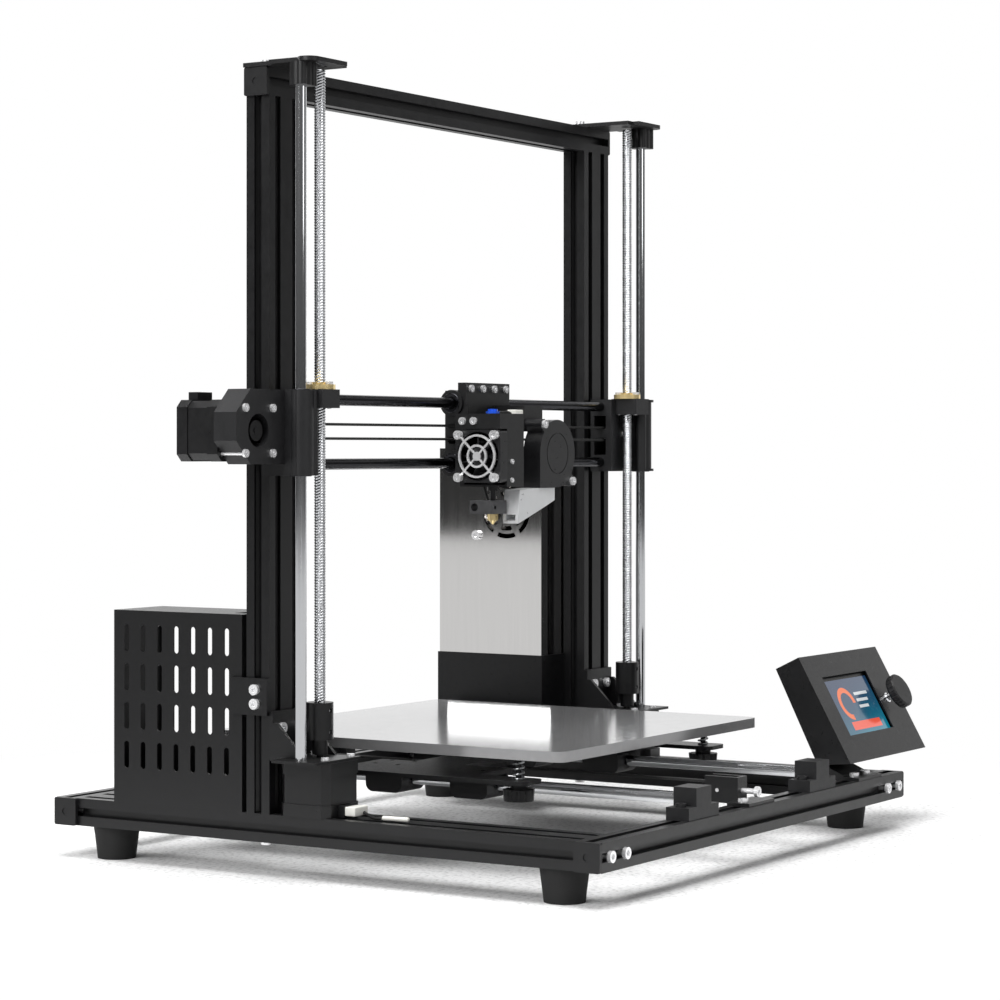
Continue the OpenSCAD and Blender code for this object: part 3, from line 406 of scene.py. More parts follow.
def capped(points: np.ndarray) -> tuple[np.ndarray, np.ndarray]:
    """Closes both ends of a tube of rings by shrinking a copy of each end ring onto its centre.

    Args:
        points: rings of points, rows by columns by 3.

    Returns:
        The longer grid of points and its quads.
    """
    ends = points[[0, -1]]
    middles = ends.mean(1, keepdims=True)
    ends = middles + (ends - middles) * END_RING
    whole = np.concatenate([ends[:1], points, ends[1:]])
    return whole, grid_faces(whole.shape[0], whole.shape[1])


def tube(path: np.ndarray, radius: float, sides: int = 12,
         up: tuple[float, float, float] = (0, 0, 1)) -> np.ndarray:
    """Sweeps a circle along a path.

    Each ring lies square to the path's direction there, turned by the given upward
    vector, so a point is the path plus radius times (cosine times side - sine times rise).

    Args:
        path: points along the middle, one row each.
        radius: its radius.
        sides: points round each ring.
        up: a vector that the path never runs along.

    Returns:
        Rings of points, rows by sides by 3.
    """
    ahead = np.gradient(path, axis=0)
    ahead /= np.linalg.norm(ahead, axis=1, keepdims=True)
    side = np.cross(ahead, np.array(up, float))
    side /= np.linalg.norm(side, axis=1, keepdims=True)
    rise = np.cross(side, ahead)
    turn = np.linspace(0, 2 * math.pi, sides, endpoint=False)
    cosine, sine = np.cos(turn)[:, None], np.sin(turn)[:, None]
    return path[:, None] + radius * (cosine * side[:, None] - sine * rise[:, None])


def rounded_box(low: np.ndarray, high: np.ndarray, radius: float,
                steps: int = 4) -> tuple[np.ndarray, np.ndarray]:
    """A box with its upright edges and its top and bottom rims rounded.

    Rings of a rounded rectangle are stacked in height; near the top and bottom each ring
    draws in by the radius times one minus the cosine of the roll-over angle.

    Args:
        low: the lowest corner.
        high: the highest corner.
        radius: radius of every rounding.
        steps: facets of each rounding.

    Returns:
        The grid's points and quads.
    """
    centre, half = (low + high) / 2, (high - low) / 2
    roll = np.linspace(0, math.pi / 2, steps + 1)
    short, long = radius * (1 - np.sin(roll)), radius * (1 - np.cos(roll))
    inset = np.concatenate([short, long])
    height = np.concatenate([-half[2] + long, half[2] - short])
    quarters = np.arange(4) * math.pi / 2
    turn = np.concatenate([np.linspace(q, q + math.pi / 2, steps + 1) for q in quarters])
    outward = np.stack([np.cos(turn), np.sin(turn)], 1)
    corner = np.repeat(np.array([[1, 1], [-1, 1], [-1, -1], [1, -1]]), steps + 1, axis=0)
    plan = corner * (half[:2] - radius) + radius * outward
    rings = plan - inset[:, None, None] * outward
    level = np.broadcast_to(height[:, None, None], (*rings.shape[:2], 1))
    return capped(np.concatenate([rings, level], 2) + centre)


def lead(name: str, knots: list[tuple[float, float, float]], radius: float, finish: Finish,
         body: str) -> None:
    """A short clipped lead through given knots, smoothed to a curve.

    A point is the blend of the nearest knots with weights of a Catmull-Rom cubic.

    Args:
        name: the piece's name.
        knots: points in millimetres from the frame's front middle.
        radius: its radius in millimetres.
        finish: its finish.
        body: the CAD body that it rides on.
    """
    given = np.array([place(*k) for k in knots])
    padded = np.concatenate([2 * given[:1] - given[1:2], given, 2 * given[-1:] - given[-2:-1]])
    spans = len(given) - 1
    u = np.linspace(0, spans - 1e-6, LEAD_STEPS * spans)
    i = u.astype(int)
    f = (u - i)[:, None]
    a, b, c, d = (padded[i + k] for k in range(4))
    square, cube = 2 * a - 5 * b + 4 * c - d, 3 * b - a - 3 * c + d
    path = 0.5 * (2 * b + (c - a) * f + square * f ** 2 + cube * f ** 3)
    points, faces = capped(tube(path, radius * MM, LEAD_SIDES, up=LEAD_UP))
    mesh_piece(name, points, faces, finish, body)


def plug(name: str, low: tuple[float, float, float], high: tuple[float, float, float],
         body: str) -> None:
    """A small white connector housing with rounded edges.

    Args:
        name: the piece's name.
        low: its lowest corner in millimetres.
        high: its highest corner in millimetres.
        body: the CAD body that it rides on.
    """
    points, faces = rounded_box(place(*low), place(*high), PLUG_ROUNDING * MM)
    mesh_piece(name, points, faces, NYLON, body)


# ------------------------------------------------------------------ sub-assemblies


@dataclass
class FrameLooks:
    """The slotted frame, its caps, feet, screws and the boxes fixed to it."""

    def build(self) -> None:
        """Finishes the frame's own CAD nodes and adds the left lift motor's plug and lead."""
        dress(ANODISED, "cross_members", "side_members", "uprights")
        dress(MOULDED, "frame_end_caps", "z_top_plates")
        dress(RUBBER, "rubber_feet")
        dress(SCREW, "frame_bolts")
        dress(CAST_PLASTIC, "y_rod_holders")
        dress(POWDER, "z_motor_brackets", "y_belt_brackets", "electronics_case", "electronics_lid",
              "screen_bracket")
        dress(MOTOR, "stepper_motors")
        dress(STEEL, "z_smooth_rods")
        dress(BED_STEEL, "y_rods")
        plug("motor_plug", (-226, 203.5, 45.4), (-210, 212.2, 51.8), "frame")
        lead("motor_lead", [(-214, 205, 47.6), (-219, 197, 46.4), (-224, 188, 45.5),
                            (-223.8, 178, 45.9)], 1.1, LEAD, "frame")
        lead("motor_sleeve", [(-223.8, 181.5, 45.9), (-223.2, 172, 45.9), (-222.4, 161.5, 45.9)],
             1.75, NYLON, "frame")


@dataclass
class LiftAxis:
    """Two lead screws with their rolled thread, and their couplers."""

    lead: float = 8 * MM
    starts: int = 4
    outer: float = 4.0 * MM
    depth: float = 0.75 * MM
    step: float = 0.34 * MM
    sides: int = 20
    flank: float = 2.4
    flat: float = 0.7
    tip: float = 0.72
    end_gap: float = 0.3 * MM
    chamfer: float = 1.2 * MM
    screw_heights: tuple[float, float] = (102 * MM, 117 * MM)
    screw_radius: float = 1.5 * MM
    screw_depths: tuple[float, float, float] = (5.2 * MM, 7.6 * MM, 8.6 * MM)

    def thread(self, side: Side) -> None:
        """Builds one threaded screw in place of its plain CAD rod.

        The radius at a height and a turn is the outer radius less the depth times a
        trapezoid wave of starts times (height over lead minus turn over a full circle),
        and it draws in over the chamfer at each end.

        Args:
            side: the side it stands on.
        """
        node = f"lead_screw_{side.word}"
        low, high = (np.array(v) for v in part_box(node))
        centre = (low + high) / 2
        heights = np.arange(low[2] + self.end_gap, high[2] - self.end_gap, self.step)
        turn = np.linspace(0, 2 * math.pi, self.sides, endpoint=False)
        z, a = np.meshgrid(heights, turn, indexing="ij")
        phase = (self.starts * ((z - low[2]) / self.lead - a / (2 * math.pi))) % 1.0
        wave = np.clip(self.flank * np.abs(2 * phase - 1) - self.flat, 0, 1)
        from_end = np.minimum(z - low[2], high[2] - z)
        radius = self.outer - self.depth * wave
        radius = radius * np.minimum(1.0, self.tip + (1 - self.tip) * from_end / self.chamfer)
        points, faces = capped(np.stack([centre[0] + radius * np.cos(a),
                                         centre[1] + radius * np.sin(a), z], 2))
        obj = mesh_piece(f"threaded_screw_{side.word}", points, faces, THREAD,
                         f"{side.word}_screw")
        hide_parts(node)

    def set_screws(self, side: Side) -> None:
        """Bright grub screws in the coupler's two bores, sunk in the wall.

        Args:
            side: the side it stands on.
        """
        low, high = (np.array(v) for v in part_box(f"z_coupler_{side.word}"))
        middle = (low + high) / 2
        for k, height in enumerate(self.screw_heights):
            path = np.array([[middle[0], middle[1] - out, height] for out in self.screw_depths])
            points, faces = capped(tube(path, self.screw_radius, 14))
            mesh_piece(f"grub_screw_{side.word}_{k}", points, faces, STEEL,
                       f"{side.word}_screw")

    def build(self) -> None:
        """Builds both screws and finishes the couplers."""
        for side in Side:
            self.thread(side)
            self.set_screws(side)
        dress(ANODISED, "z_coupler_left", "z_coupler_right")


@dataclass
class BeltDrive:
    """A toothed belt loop on two equal wheels in one upright plane.

    The start and end are the wheels' centres, and across is the unit vector of their axles.
    """

    name: str
    node: str
    body: str
    start: np.ndarray
    end: np.ndarray
    across: np.ndarray
    pitch_radius: float = 5.09 * MM
    width: float = 6 * MM
    pitch: float = 2 * MM
    steps_per_tooth: int = 6
    back: float = 0.95 * MM
    root: float = 0.15 * MM
    tooth: float = 0.8 * MM

    def build(self) -> None:
        """Sweeps the belt's section round the loop.

        A distance along the loop becomes a point on a straight or an arc with an outward
        vector. The back face stands outside the pitch line by a fixed distance, and the
        toothed side lies inside it by the root plus the tooth's height times the squared
        cosine of half a turn for each tooth.
        """
        run = np.linalg.norm(self.end - self.start)
        along = (self.end - self.start) / run
        rise = np.cross(self.across, along)
        arc = math.pi * self.pitch_radius
        total = 2 * (run + arc)
        count = int(round(total / (self.pitch / self.steps_per_tooth)))
        s = np.arange(count) * total / count
        returning = s > run + arc
        t = np.where(returning, s - run - arc, s)
        sign = np.where(returning, -1.0, 1.0)[:, None]
        bend = np.clip((t - run) / self.pitch_radius, 0, math.pi)[:, None]
        straight = np.minimum(t, run)[:, None]
        outward = sign * (np.cos(bend) * rise + np.sin(bend) * along)
        origin = np.where(returning[:, None], self.end, self.start)
        centre = origin + sign * straight * along
        teeth = int(round(total / self.pitch))
        wave = np.cos(math.pi * teeth * s / total) ** 2
        inner = self.pitch_radius - self.root - self.tooth * wave
        outer = np.full_like(inner, self.pitch_radius + self.back)
        half = self.across * self.width / 2
        section = [(outer, -half), (outer, half), (inner, half), (inner, -half)]
        points = np.stack([centre + outward * r[:, None] + h for r, h in section], 1)
        faces = grid_faces(count, 4, wrap_rows=True)
        obj = mesh_piece(self.name, points, faces, BELT, self.body, smooth=False)
        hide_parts(self.node)


@dataclass
class Gantry:
    """The two end blocks, cross rods and belt that climb the lift rods.

    The places are millimetres from the frame's front middle, as in place().
    """

    lift_x: float = 241
    lift_y: float = 238.7
    lift_faces: tuple[float, float] = (340.5, 281.0)
    cross_y: float = 257
    cross_rods: tuple[float, float] = (334.5, 288.6)
    carriage_faces: tuple[float, float] = (-22, 45)
    belt_z: float = 312
    pulley_x: float = -280
    idler_x: float = 225
    ring_inner: float = 4.25
    ring_outer: float = 7.6
    ring_sides: int = 40

    def seal(self, name: str, centre: np.ndarray, axis: np.ndarray, body: str) -> None:
        """A bearing's end seal: a shallow dished ring round its rod.

        A point is the centre plus the profile's radius times (cosine times side + sine
        times rise) plus the profile's height times the axis.

        Args:
            name: the piece's name.
            centre: the middle of the ring on the housing's face.
            axis: the outward direction of that face.
            body: the CAD body that carries the housing.
        """
        inner, outer = self.ring_inner, self.ring_outer
        profile = MM * np.array([[inner, -0.2], [inner, 0.25], [5.2, 0.45], [6.2, 0.30],
                                 [7.0, 0.55], [outer, 0.35], [outer, -0.2]])
        side = np.array([axis[1], axis[2], axis[0]], float)
        rise = np.cross(axis, side)
        turn = np.linspace(0, 2 * math.pi, self.ring_sides, endpoint=False)[None, :, None]
        circle = np.cos(turn) * side + np.sin(turn) * rise
        radius, height = profile[:, 0][:, None, None], profile[:, 1][:, None, None]
        faces = grid_faces(len(profile), self.ring_sides, wrap_rows=True)[:, ::-1]
        mesh_piece(name, centre + radius * circle + height * axis, faces, DARK_ROD, body)

    def build(self) -> None:
        """Dresses the gantry and adds its belt and a seal at every lift and cross bearing."""
        dress(CAST_PLASTIC, "x_end_left", "x_end_right")
        dress(DARK_ROD, "x_rods")
        dress(BRASS, "z_nuts")
        dress(MOTOR, "x_motor")
        dress(ANODISED, "x_pulley")
        dress(SCREW, "x_idler", "gantry_bolts")
        for side in Side:
            for edge, z, up in zip(("top", "bottom"), self.lift_faces, (1.0, -1.0)):
                self.seal(f"lift_seal_{side.word}_{edge}",
                          place(side.value * self.lift_x, self.lift_y, z),
                          np.array([0, 0, up]), "gantry")
        for rod, z in zip(("upper", "lower"), self.cross_rods):
            for edge, x, out in zip(("left", "right"), self.carriage_faces, (-1.0, 1.0)):
                self.seal(f"cross_seal_{rod}_{edge}", place(x, self.cross_y, z),
                          np.array([out, 0, 0]), "carriage")
        BeltDrive("x_toothed_belt", "x_belt", "gantry",
                  place(self.pulley_x, self.cross_y, self.belt_z),
                  place(self.idler_x, self.cross_y, self.belt_z), np.array([0, -1.0, 0])).build()


@dataclass
class ToolHead:
    """The carriage with its hot end, fans, duct, plug and short leads."""

    def build(self) -> None:
        """Dresses the tool head and adds the blower's plug and lead and the heater's lead."""
        dress(MOULDED, "x_carriage")
        dress(ANODISED, "heatsink")
        dress(HEATER, "heater_block")
        dress(BRASS, "nozzle")
        dress(BLUE, "bowden_fitting")
        dress(FAN_BLACK, "hotend_fan", "blower_case", "hotend_fan_rotor", "blower_rotor")
        dress(CHROME, "fan_guard")
        dress(DUCT, "air_duct")
        dress(SCREW, "carriage_bolts")
        plug("blower_plug", (9.5, 219, 323.5), (23.5, 226.5, 329.5), "carriage")
        lead("blower_lead", [(10.5, 223, 326.5), (5, 224, 327.6), (-2, 229, 327.2),
                             (-6, 236, 327)], 1.0, LEAD, "carriage")
        lead("heater_lead", [(-10, 229.5, 255.5), (-4, 231, 256), (0, 238, 262),
                             (0.5, 244, 280), (0, 247, 300)], 1.1, LEAD, "carriage")


@dataclass
class MovingBed:
    """The build plate, its carriage, knobs, belt and wound springs.

    The places are millimetres from the frame's front middle, as in place().
    """

    wire: float = 0.7 * MM
    radius: float = 3.6 * MM
    turns: float = 5.0
    steps_per_turn: int = 26
    flat_end: float = 0.14
    middle_y: float = 232.5
    corner_x: float = 138
    corner_y: float = 107.5
    belt_x: float = -6
    belt_z: float = 53
    idler_y: float = 34
    motor_y: float = 420.5

    def spring(self, x: float, y: float) -> np.ndarray:
        """One spring's wire as a swept helix with flattened end turns.

        The height rises with the turn between two stretches in which it stays level, so
        both end coils lie flat.

        Args:
            x: place across, in metres.
            y: place along, in metres.

        Returns:
            Rings of points along the wire.
        """
        low, high = (v[2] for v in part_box("level_springs"))
        t = np.linspace(0, 1, int(self.turns * self.steps_per_turn))
        climb = np.clip((t - self.flat_end) / (1 - 2 * self.flat_end), 0, 1)
        z = low + self.wire + (high - low - 2 * self.wire) * climb
        a = 2 * math.pi * self.turns * t
        path = np.stack([x + self.radius * np.cos(a), y + self.radius * np.sin(a), z], 1)
        return tube(path, self.wire, 8)

    def build(self) -> None:
        """Winds four springs as one piece, dresses the bed and adds its belt."""
        grids, quads, offset = [], [], 0
        for sx in (-1, 1):
            for sy in (-1, 1):
                spot = place(sx * self.corner_x, self.middle_y + sy * self.corner_y, 0)
                points, faces = capped(self.spring(spot[0], spot[1]))
                grids.append(points.reshape(-1, 3))
                quads.append(faces + offset)
                offset += len(grids[-1])
        obj = mesh_piece("wound_springs", np.concatenate(grids), np.concatenate(quads), SPRING,
                         "bed")
        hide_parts("level_springs")
        dress(BED, "build_plate")
        dress(POWDER, "y_carriage_plate")
        dress(CAST_PLASTIC, "y_bearing_blocks")
        dress(MOULDED, "level_knob_fl", "level_knob_fr", "level_knob_rl", "level_knob_rr")
        dress(ALUMINIUM, "y_pulley")
        dress(SCREW, "y_idler")
        BeltDrive("y_toothed_belt", "y_belt", "frame",
                  place(self.belt_x, self.idler_y, self.belt_z),
                  place(self.belt_x, self.motor_y, self.belt_z), np.array([1.0, 0, 0])).build()


@dataclass
class ScreenBox:
    """The tilted screen with its lit picture and its dial.

    The corner is the face's lower left corner, in millimetres as in place(), and the
    window is the lit panel's left, right, top and bottom edge on the face. The picture's
    places are shares of the panel's width and height, from its lower left corner.
    """

    lean: float = math.radians(29.1)
    corner: tuple[float, float, float] = (155, 6, 57.5)
    face_height: float = 91.5
    window: tuple[float, float, float, float] = (23.3, 103.7, 22.1, 72.0)
    glass_depth: float = 2.5
    crown: float = 0.12 * MM
    aspect: float = 1.58
    ring_centre: tuple[float, float] = (0.34, 0.58)
    ring_radii: tuple[float, float] = (0.19, 0.28)
    bars: tuple[tuple[float, float, float], ...] = ((0.86, 0.70, 0.75), (0.816, 0.59, 0.64),
                                                    (0.772, 0.48, 0.53))
    bar_left: float = 0.56
    band_across: tuple[float, float] = (0.22, 0.86)
    band_up: tuple[float, float] = (0.13, 0.27)

    def on_face(self, u: np.ndarray, v: np.ndarray, depth: float) -> np.ndarray:
        """Maps distances across and down the face to the row frame.

        A point is the corner plus u across, plus the height up the face along the lean,
        plus the depth square to the face.

        Args:
            u: millimetres from the face's left edge.
            v: millimetres down from its top edge.
            depth: millimetres into the box.

        Returns:
            The points in metres.
        """
        up = self.face_height - v
        y = self.corner[1] + up * math.sin(self.lean) + depth * math.cos(self.lean)
        z = self.corner[2] + up * math.cos(self.lean) - depth * math.sin(self.lean)
        return np.stack([(self.corner[0] + u) * MM + SIDE, y * MM + FRONT, z * MM], -1)

    def picture(self) -> bpy.types.Material:
        """The lit panel: a blue field that turns teal, an open ring, three bars and a band.

        Returns:
            The emissive material, drawn from the panel's own map.
        """
        material = bpy.data.materials.new("lit_panel")
        material.use_nodes = True
        tree = material.node_tree
        shader = tree.nodes["Principled BSDF"]
        uv = tree.nodes.new("ShaderNodeUVMap")
        uv.uv_map = "face"
        parts = tree.nodes.new("ShaderNodeSeparateXYZ")
        link(tree, uv.outputs[0], parts.inputs[0])
        u, v = parts.outputs[0], parts.outputs[1]

        def mix(factor: bpy.types.NodeSocket, a: object,
                b: tuple[float, float, float]) -> bpy.types.NodeSocket:
            """Lays one plain colour over another where the factor is one."""
            node = tree.nodes.new("ShaderNodeMix")
            node.data_type = "RGBA"
            link(tree, factor, node.inputs["Factor"])
            if isinstance(a, bpy.types.NodeSocket):
                link(tree, a, node.inputs[6])
            else:
                node.inputs[6].default_value = (*a, 1)
            node.inputs[7].default_value = (*b, 1)
            return node.outputs[2]

        def within(value: bpy.types.NodeSocket, low: float, high: float) -> bpy.types.NodeSocket:
            """One between two limits and zero outside."""
            return math_node(tree, "MULTIPLY", math_node(tree, "GREATER_THAN", value, low),
                             math_node(tree, "LESS_THAN", value, high))

        noise = tree.nodes.new("ShaderNodeTexNoise")
        noise.inputs["Scale"].default_value = 3.0
        link(tree, uv.outputs[0], noise.inputs["Vector"])
        down = math_node(tree, "SUBTRACT", 1.0, v)
        glow = math_node(tree, "ADD", math_node(tree, "MULTIPLY", down, 0.72),
                         math_node(tree, "MULTIPLY", u, 0.28))
        glow = math_node(tree, "POWER", math_node(tree, "MAXIMUM", glow, 0.0), 2.6)
        glow = math_node(tree, "MULTIPLY", glow, math_node(tree, "ADD", noise.outputs["Fac"], 0.45))
        field = mix(glow, (0.012, 0.035, 0.10), (0.0, 0.30, 0.42))
        du = math_node(tree, "SUBTRACT", u, self.ring_centre[0])
        du = math_node(tree, "MULTIPLY", du, self.aspect)
        dv = math_node(tree, "SUBTRACT", v, self.ring_centre[1])
        square = math_node(tree, "ADD", math_node(tree, "MULTIPLY", du, du),
                           math_node(tree, "MULTIPLY", dv, dv))
        ring = within(math_node(tree, "SQRT", square), *self.ring_radii)
        gap = math_node(tree, "MULTIPLY", math_node(tree, "GREATER_THAN", du, 0.0),
                        math_node(tree, "LESS_THAN", dv, 0.0))
        open_ring = math_node(tree, "MULTIPLY", ring, math_node(tree, "SUBTRACT", 1.0, gap))
        picture = mix(open_ring, field, (0.95, 0.16, 0.02))
        for right, low, high in self.bars:
            bar = math_node(tree, "MULTIPLY", within(u, self.bar_left, right),
                            within(v, low, high))
            picture = mix(bar, picture, (0.75, 0.78, 0.80))
        band = math_node(tree, "MULTIPLY", within(u, *self.band_across),
                         within(v, *self.band_up))
        picture = mix(band, picture, (0.95, 0.11, 0.05))
        link(tree, picture, shader.inputs["Emission Color"])
        shader.inputs["Emission Strength"].default_value = 0.85
        link(tree, mix(ring, (0.004, 0.008, 0.012), (0.02, 0.02, 0.02)), shader.inputs["Base Color"])
        shader.inputs["Roughness"].default_value = 0.16
        shader.inputs["Coat Weight"].default_value = 0.4
        return material

    def panel(self) -> None:
        """A slightly crowned glass with its own map, lying in the window.

        The crown stands out of the face by its height times one minus the fourth power of
        the distance from the middle, across and down.
        """
        left, right, top, bottom = self.window
        across, down = np.meshgrid(np.linspace(0, 1, 41), np.linspace(0, 1, 27), indexing="xy")
        swell = self.crown * (1 - (2 * across - 1) ** 4) * (1 - (2 * down - 1) ** 4)
        inward = np.array([0, math.cos(self.lean), -math.sin(self.lean)])
        points = self.on_face(left + across * (right - left), top + down * (bottom - top),
                              self.glass_depth) - swell[..., None] * inward
        faces = grid_faces(*across.shape, wrap_columns=False)[:, ::-1]
        obj = mesh_piece("screen_panel", points, faces, PANEL, "frame")
        layer = obj.data.uv_layers.new(name="face")
        loops = np.zeros(len(obj.data.loops), dtype=np.int32)
        obj.data.loops.foreach_get("vertex_index", loops)
        spread = np.stack([across.ravel(), 1 - down.ravel()], 1)[loops]
        layer.data.foreach_set("uv", spread.ravel().astype(np.float32))
        obj.data.materials.clear()
        obj.data.materials.append(self.picture())

    def build(self) -> None:
        """Dresses the box and adds the lit panel."""
        dress(PANEL, "screen_case", "screen_display")
        dress(MOULDED, "encoder_knob")
        dress(STEEL, "encoder_shaft")
        self.panel()


@dataclass
class Supply:
    """The power supply with its plated case and black terminal cover."""

    def build(self) -> None:
        """Dresses the supply's parts."""
        dress(SUPPLY, "psu_case")
        dress(PANEL, "psu_cover")
        dress(MOULDED, "power_inlet")
        dress(RED, "power_switch")


@dataclass
class Studio:
    """Camera, floor and lights.

    Each softbox is its name, its angle, distance, height, width, height edge to edge and
    power, as lamp() takes them.
    """

    eye: tuple[float, float, float] = (-1816.4, -908.7, 299.5)
    heading: float = math.radians(57.99)
    lens: float = 101.09
    shift: float = -0.0511
    sensor: float = 36.0
    view_end: float = 50.0
    lamp_target: float = 0.28
    softboxes: tuple[tuple, ...] = (("key_softbox", 95, 2.2, 1.5, 1.2, 1.2, 42),
                                    ("front_softbox", 5, 2.4, 1.3, 1.0, 1.4, 9),
                                    ("top_softbox", 60, 0.6, 2.4, 1.6, 1.6, 60),
                                    ("rear_strip", 200, 2.2, 1.4, 1.2, 1.0, 30))
    glint_at: tuple[float, float, float] = (158, 327, 106)

    def camera(self) -> None:
        """A level camera that looks along its heading, with a small upright shift."""
        data = bpy.data.cameras.new("camera")
        data.lens, data.sensor_width, data.shift_y = self.lens, self.sensor, self.shift
        data.clip_end = self.view_end
        obj = bpy.data.objects.new("camera", data)
        obj.location = place(*self.eye)
        obj.rotation_euler = (math.pi / 2, 0, -self.heading)
        bpy.context.scene.collection.objects.link(obj)
        bpy.context.scene.camera = obj

    def area(self, name: str, width: float, tall: float, power: float) -> bpy.types.Object:
        """Adds a rectangular area light.

        Args:
            name: its name.
            width: its width.
            tall: its height edge to edge.
            power: its power in watts.

        Returns:
            The light, still at the origin.
        """
        data = bpy.data.lights.new(name, "AREA")
        data.shape, data.size, data.size_y, data.energy = "RECTANGLE", width, tall, power
        obj = bpy.data.objects.new(name, data)
        bpy.context.scene.collection.objects.link(obj)
        return obj

    def lamp(self, name: str, angle: float, distance: float, height: float, width: float, tall: float,
             power: float) -> None:
        """A softbox that faces the printer's middle.

        Args:
            name: its name.
            angle: degrees round from straight in front, positive to the printer's left.
            distance: how far it stands from the middle.
            height: its height.
            width: its width.
            tall: its height edge to edge.
            power: its power in watts.
        """
        obj = self.area(name, width, tall, power)
        a = math.radians(angle)
        spot = np.array([-math.sin(a) * distance, -math.cos(a) * distance, height])
        obj.location = spot
        aim = np.array([0, 0, self.lamp_target]) - spot
        flat = math.hypot(aim[0], aim[1])
        obj.rotation_euler = (math.atan2(flat, -aim[2]), 0, math.atan2(-aim[0], aim[1]))

    def glint(self) -> None:
        """A low strip, unseen by the camera, whose mirror image lies on the build plate."""
        obj = self.area("plate_glint", 0.024, 0.10, 0.028)
        obj.location = place(*self.glint_at)
        obj.rotation_euler = (0, math.pi / 2, 0)
        obj.visible_camera = False

    def world(self) -> None:
        """A white surround for the eye and a dim one, dark at the horizon, for the object.

        The dim one is a ramp over height, with a white backdrop behind the printer.
        """
        world = bpy.data.worlds.new("studio")
        bpy.context.scene.world = world
        world.use_nodes = True
        tree = world.node_tree
        tree.nodes.clear()
        out = tree.nodes.new("ShaderNodeOutputWorld")
        seen = tree.nodes.new("ShaderNodeBackground")
        seen.inputs[0].default_value = (1, 1, 1, 1)
        seen.inputs[1].default_value = 1.0
        lit = tree.nodes.new("ShaderNodeBackground")
        spot = tree.nodes.new("ShaderNodeTexCoord")
        parts = tree.nodes.new("ShaderNodeSeparateXYZ")
        link(tree, spot.outputs["Generated"], parts.inputs[0])
        ramp = tree.nodes.new("ShaderNodeValToRGB")
        elements = ramp.color_ramp.elements
        elements.remove(elements[1])
        elements[0].color = (0.7, 0.7, 0.7, 1)
        for height, level in ((0.481, 0.7), (0.483, 0.03), (0.50, 0.03), (0.53, 0.10), (0.80, 0.22),
                              (1.0, 0.30)):
            elements.new(height).color = (level, level, level, 1)
        half = math_node(tree, "MULTIPLY", parts.outputs["Z"], 0.5)
        link(tree, math_node(tree, "ADD", half, 0.5), ramp.inputs[0])
        toward = math_node(tree, "ADD", math_node(tree, "MULTIPLY", parts.outputs["X"], 0.85),
                           math_node(tree, "MULTIPLY", parts.outputs["Y"], 0.53))
        backdrop = math_node(tree, "MULTIPLY", math_node(tree, "GREATER_THAN", toward, 0.55),
                             math_node(tree, "LESS_THAN", parts.outputs["Z"], 0.5))
        both = tree.nodes.new("ShaderNodeMix")
        both.data_type = "RGBA"
        link(tree, backdrop, both.inputs["Factor"])
        link(tree, ramp.outputs[0], both.inputs[6])
        both.inputs[7].default_value = (1.0, 1.0, 1.0, 1)
        link(tree, both.outputs[2], lit.inputs[0])
        path = tree.nodes.new("ShaderNodeLightPath")
        mix = tree.nodes.new("ShaderNodeMixShader")
        link(tree, path.outputs["Is Camera Ray"], mix.inputs[0])
        link(tree, lit.outputs[0], mix.inputs[1])
        link(tree, seen.outputs[0], mix.inputs[2])
        link(tree, mix.outputs[0], out.inputs[0])

    def floor(self) -> None:
        """A pale, faintly speckled floor, grey near the printer as painted shade over real shadows,
        that runs out into plain white round it.
        """
        step = np.linspace(-6, 6, 25)
        x, y = np.meshgrid(step, step, indexing="xy")
        points = np.stack([x, y, np.full_like(x, -0.0002)], -1).reshape(-1, 3)
        mesh = bpy.data.meshes.new("floor")
        mesh.from_pydata(points.tolist(), [], grid_faces(25, 25, wrap_columns=False).tolist())
        obj = bpy.data.objects.new("floor", mesh)
        bpy.context.scene.collection.objects.link(obj)
        material = bpy.data.materials.new("pale_floor")
        material.use_nodes = True
        tree = material.node_tree
        tree.nodes.clear()
        out = tree.nodes.new("ShaderNodeOutputMaterial")
        spot = tree.nodes.new("ShaderNodeTexCoord")
        noise = tree.nodes.new("ShaderNodeTexNoise")
        noise.inputs["Scale"].default_value = 260.0
        noise.inputs["Detail"].default_value = 3.0
        link(tree, spot.outputs["Object"], noise.inputs["Vector"])
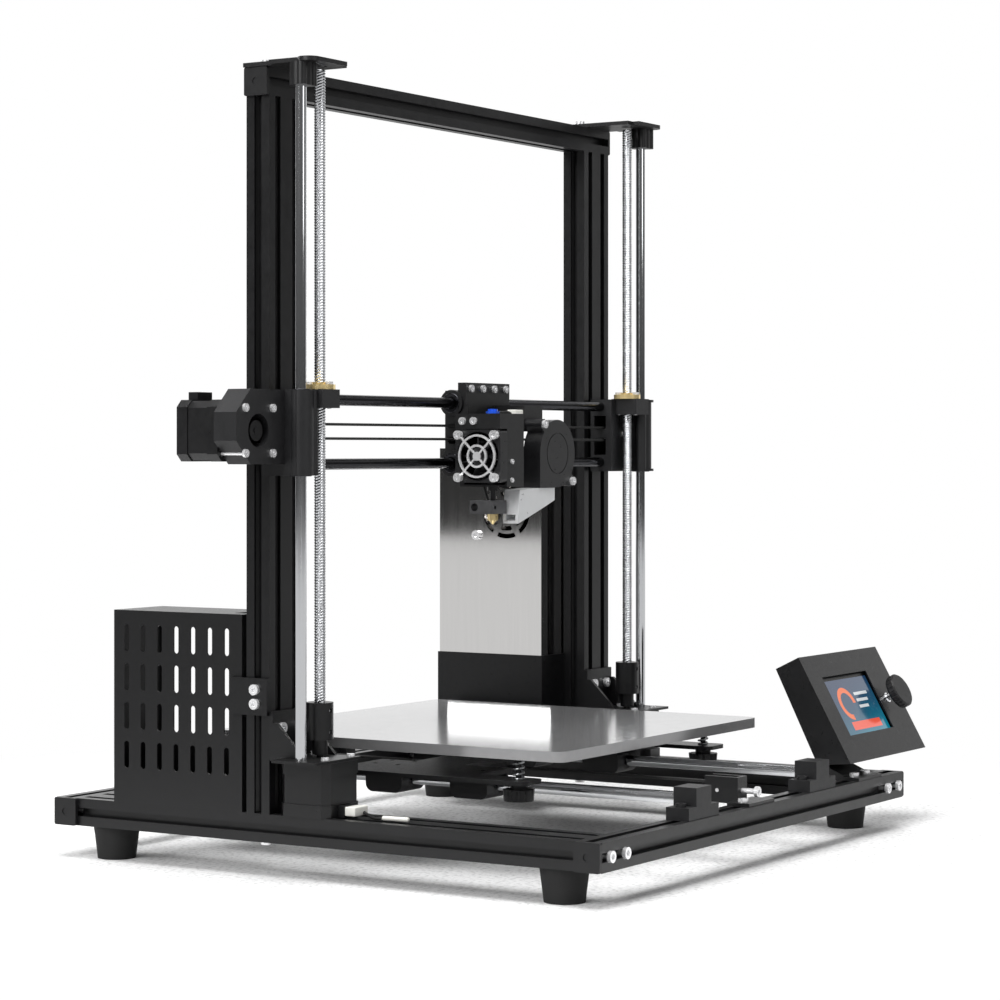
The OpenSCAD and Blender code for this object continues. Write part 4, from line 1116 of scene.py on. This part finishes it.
        # the floor's grey levels near the printer are painted shade round the base, added to the real
        # shadows it takes
        ramp = tree.nodes.new("ShaderNodeValToRGB")
        for element, start, level in zip(ramp.color_ramp.elements, (0.30, 0.52), (0.58, 0.84)):
            element.position = start
            element.color = (level, level, level, 1)
        link(tree, noise.outputs["Fac"], ramp.inputs[0])
        lit = tree.nodes.new("ShaderNodeBsdfDiffuse")
        link(tree, ramp.outputs[0], lit.inputs[0])
        plain = tree.nodes.new("ShaderNodeEmission")
        path = tree.nodes.new("ShaderNodeLightPath")
        seen = math_node(tree, "MULTIPLY", path.outputs["Is Camera Ray"], 0.35)
        link(tree, math_node(tree, "ADD", seen, 0.65), plain.inputs[1])
        length = tree.nodes.new("ShaderNodeVectorMath")
        length.operation = "LENGTH"
        link(tree, spot.outputs["Object"], length.inputs[0])
        # painted shade: the grey diffuse floor near the printer gives way to flat white emission away
        # from it
        painted_shade_fade = tree.nodes.new("ShaderNodeMapRange")
        painted_shade_fade.interpolation_type = "SMOOTHSTEP"
        painted_shade_fade.inputs["From Min"].default_value = 0.36
        painted_shade_fade.inputs["From Max"].default_value = 0.75
        link(tree, length.outputs["Value"], painted_shade_fade.inputs["Value"])
        mix = tree.nodes.new("ShaderNodeMixShader")
        link(tree, painted_shade_fade.outputs[0], mix.inputs[0])
        link(tree, lit.outputs[0], mix.inputs[1])
        link(tree, plain.outputs[0], mix.inputs[2])
        link(tree, mix.outputs[0], out.inputs[0])
        mesh.materials.append(material)

    def build(self) -> None:
        """Sets the camera, surround, floor and lights."""
        self.camera()
        self.world()
        self.floor()
        for softbox in self.softboxes:
            self.lamp(*softbox)
        self.glint()
        bpy.context.scene.view_settings.view_transform = "Standard"


def main() -> None:
    """Builds every sub-assembly in order."""
    logging.basicConfig(level=logging.INFO, format="%(message)s")
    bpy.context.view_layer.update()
    for assembly in (Studio, FrameLooks, LiftAxis, Gantry, ToolHead, MovingBed, ScreenBox, Supply):
        assembly().build()
        log.info("%s built", assembly.__name__)


if __name__ == "__main__":
    main()
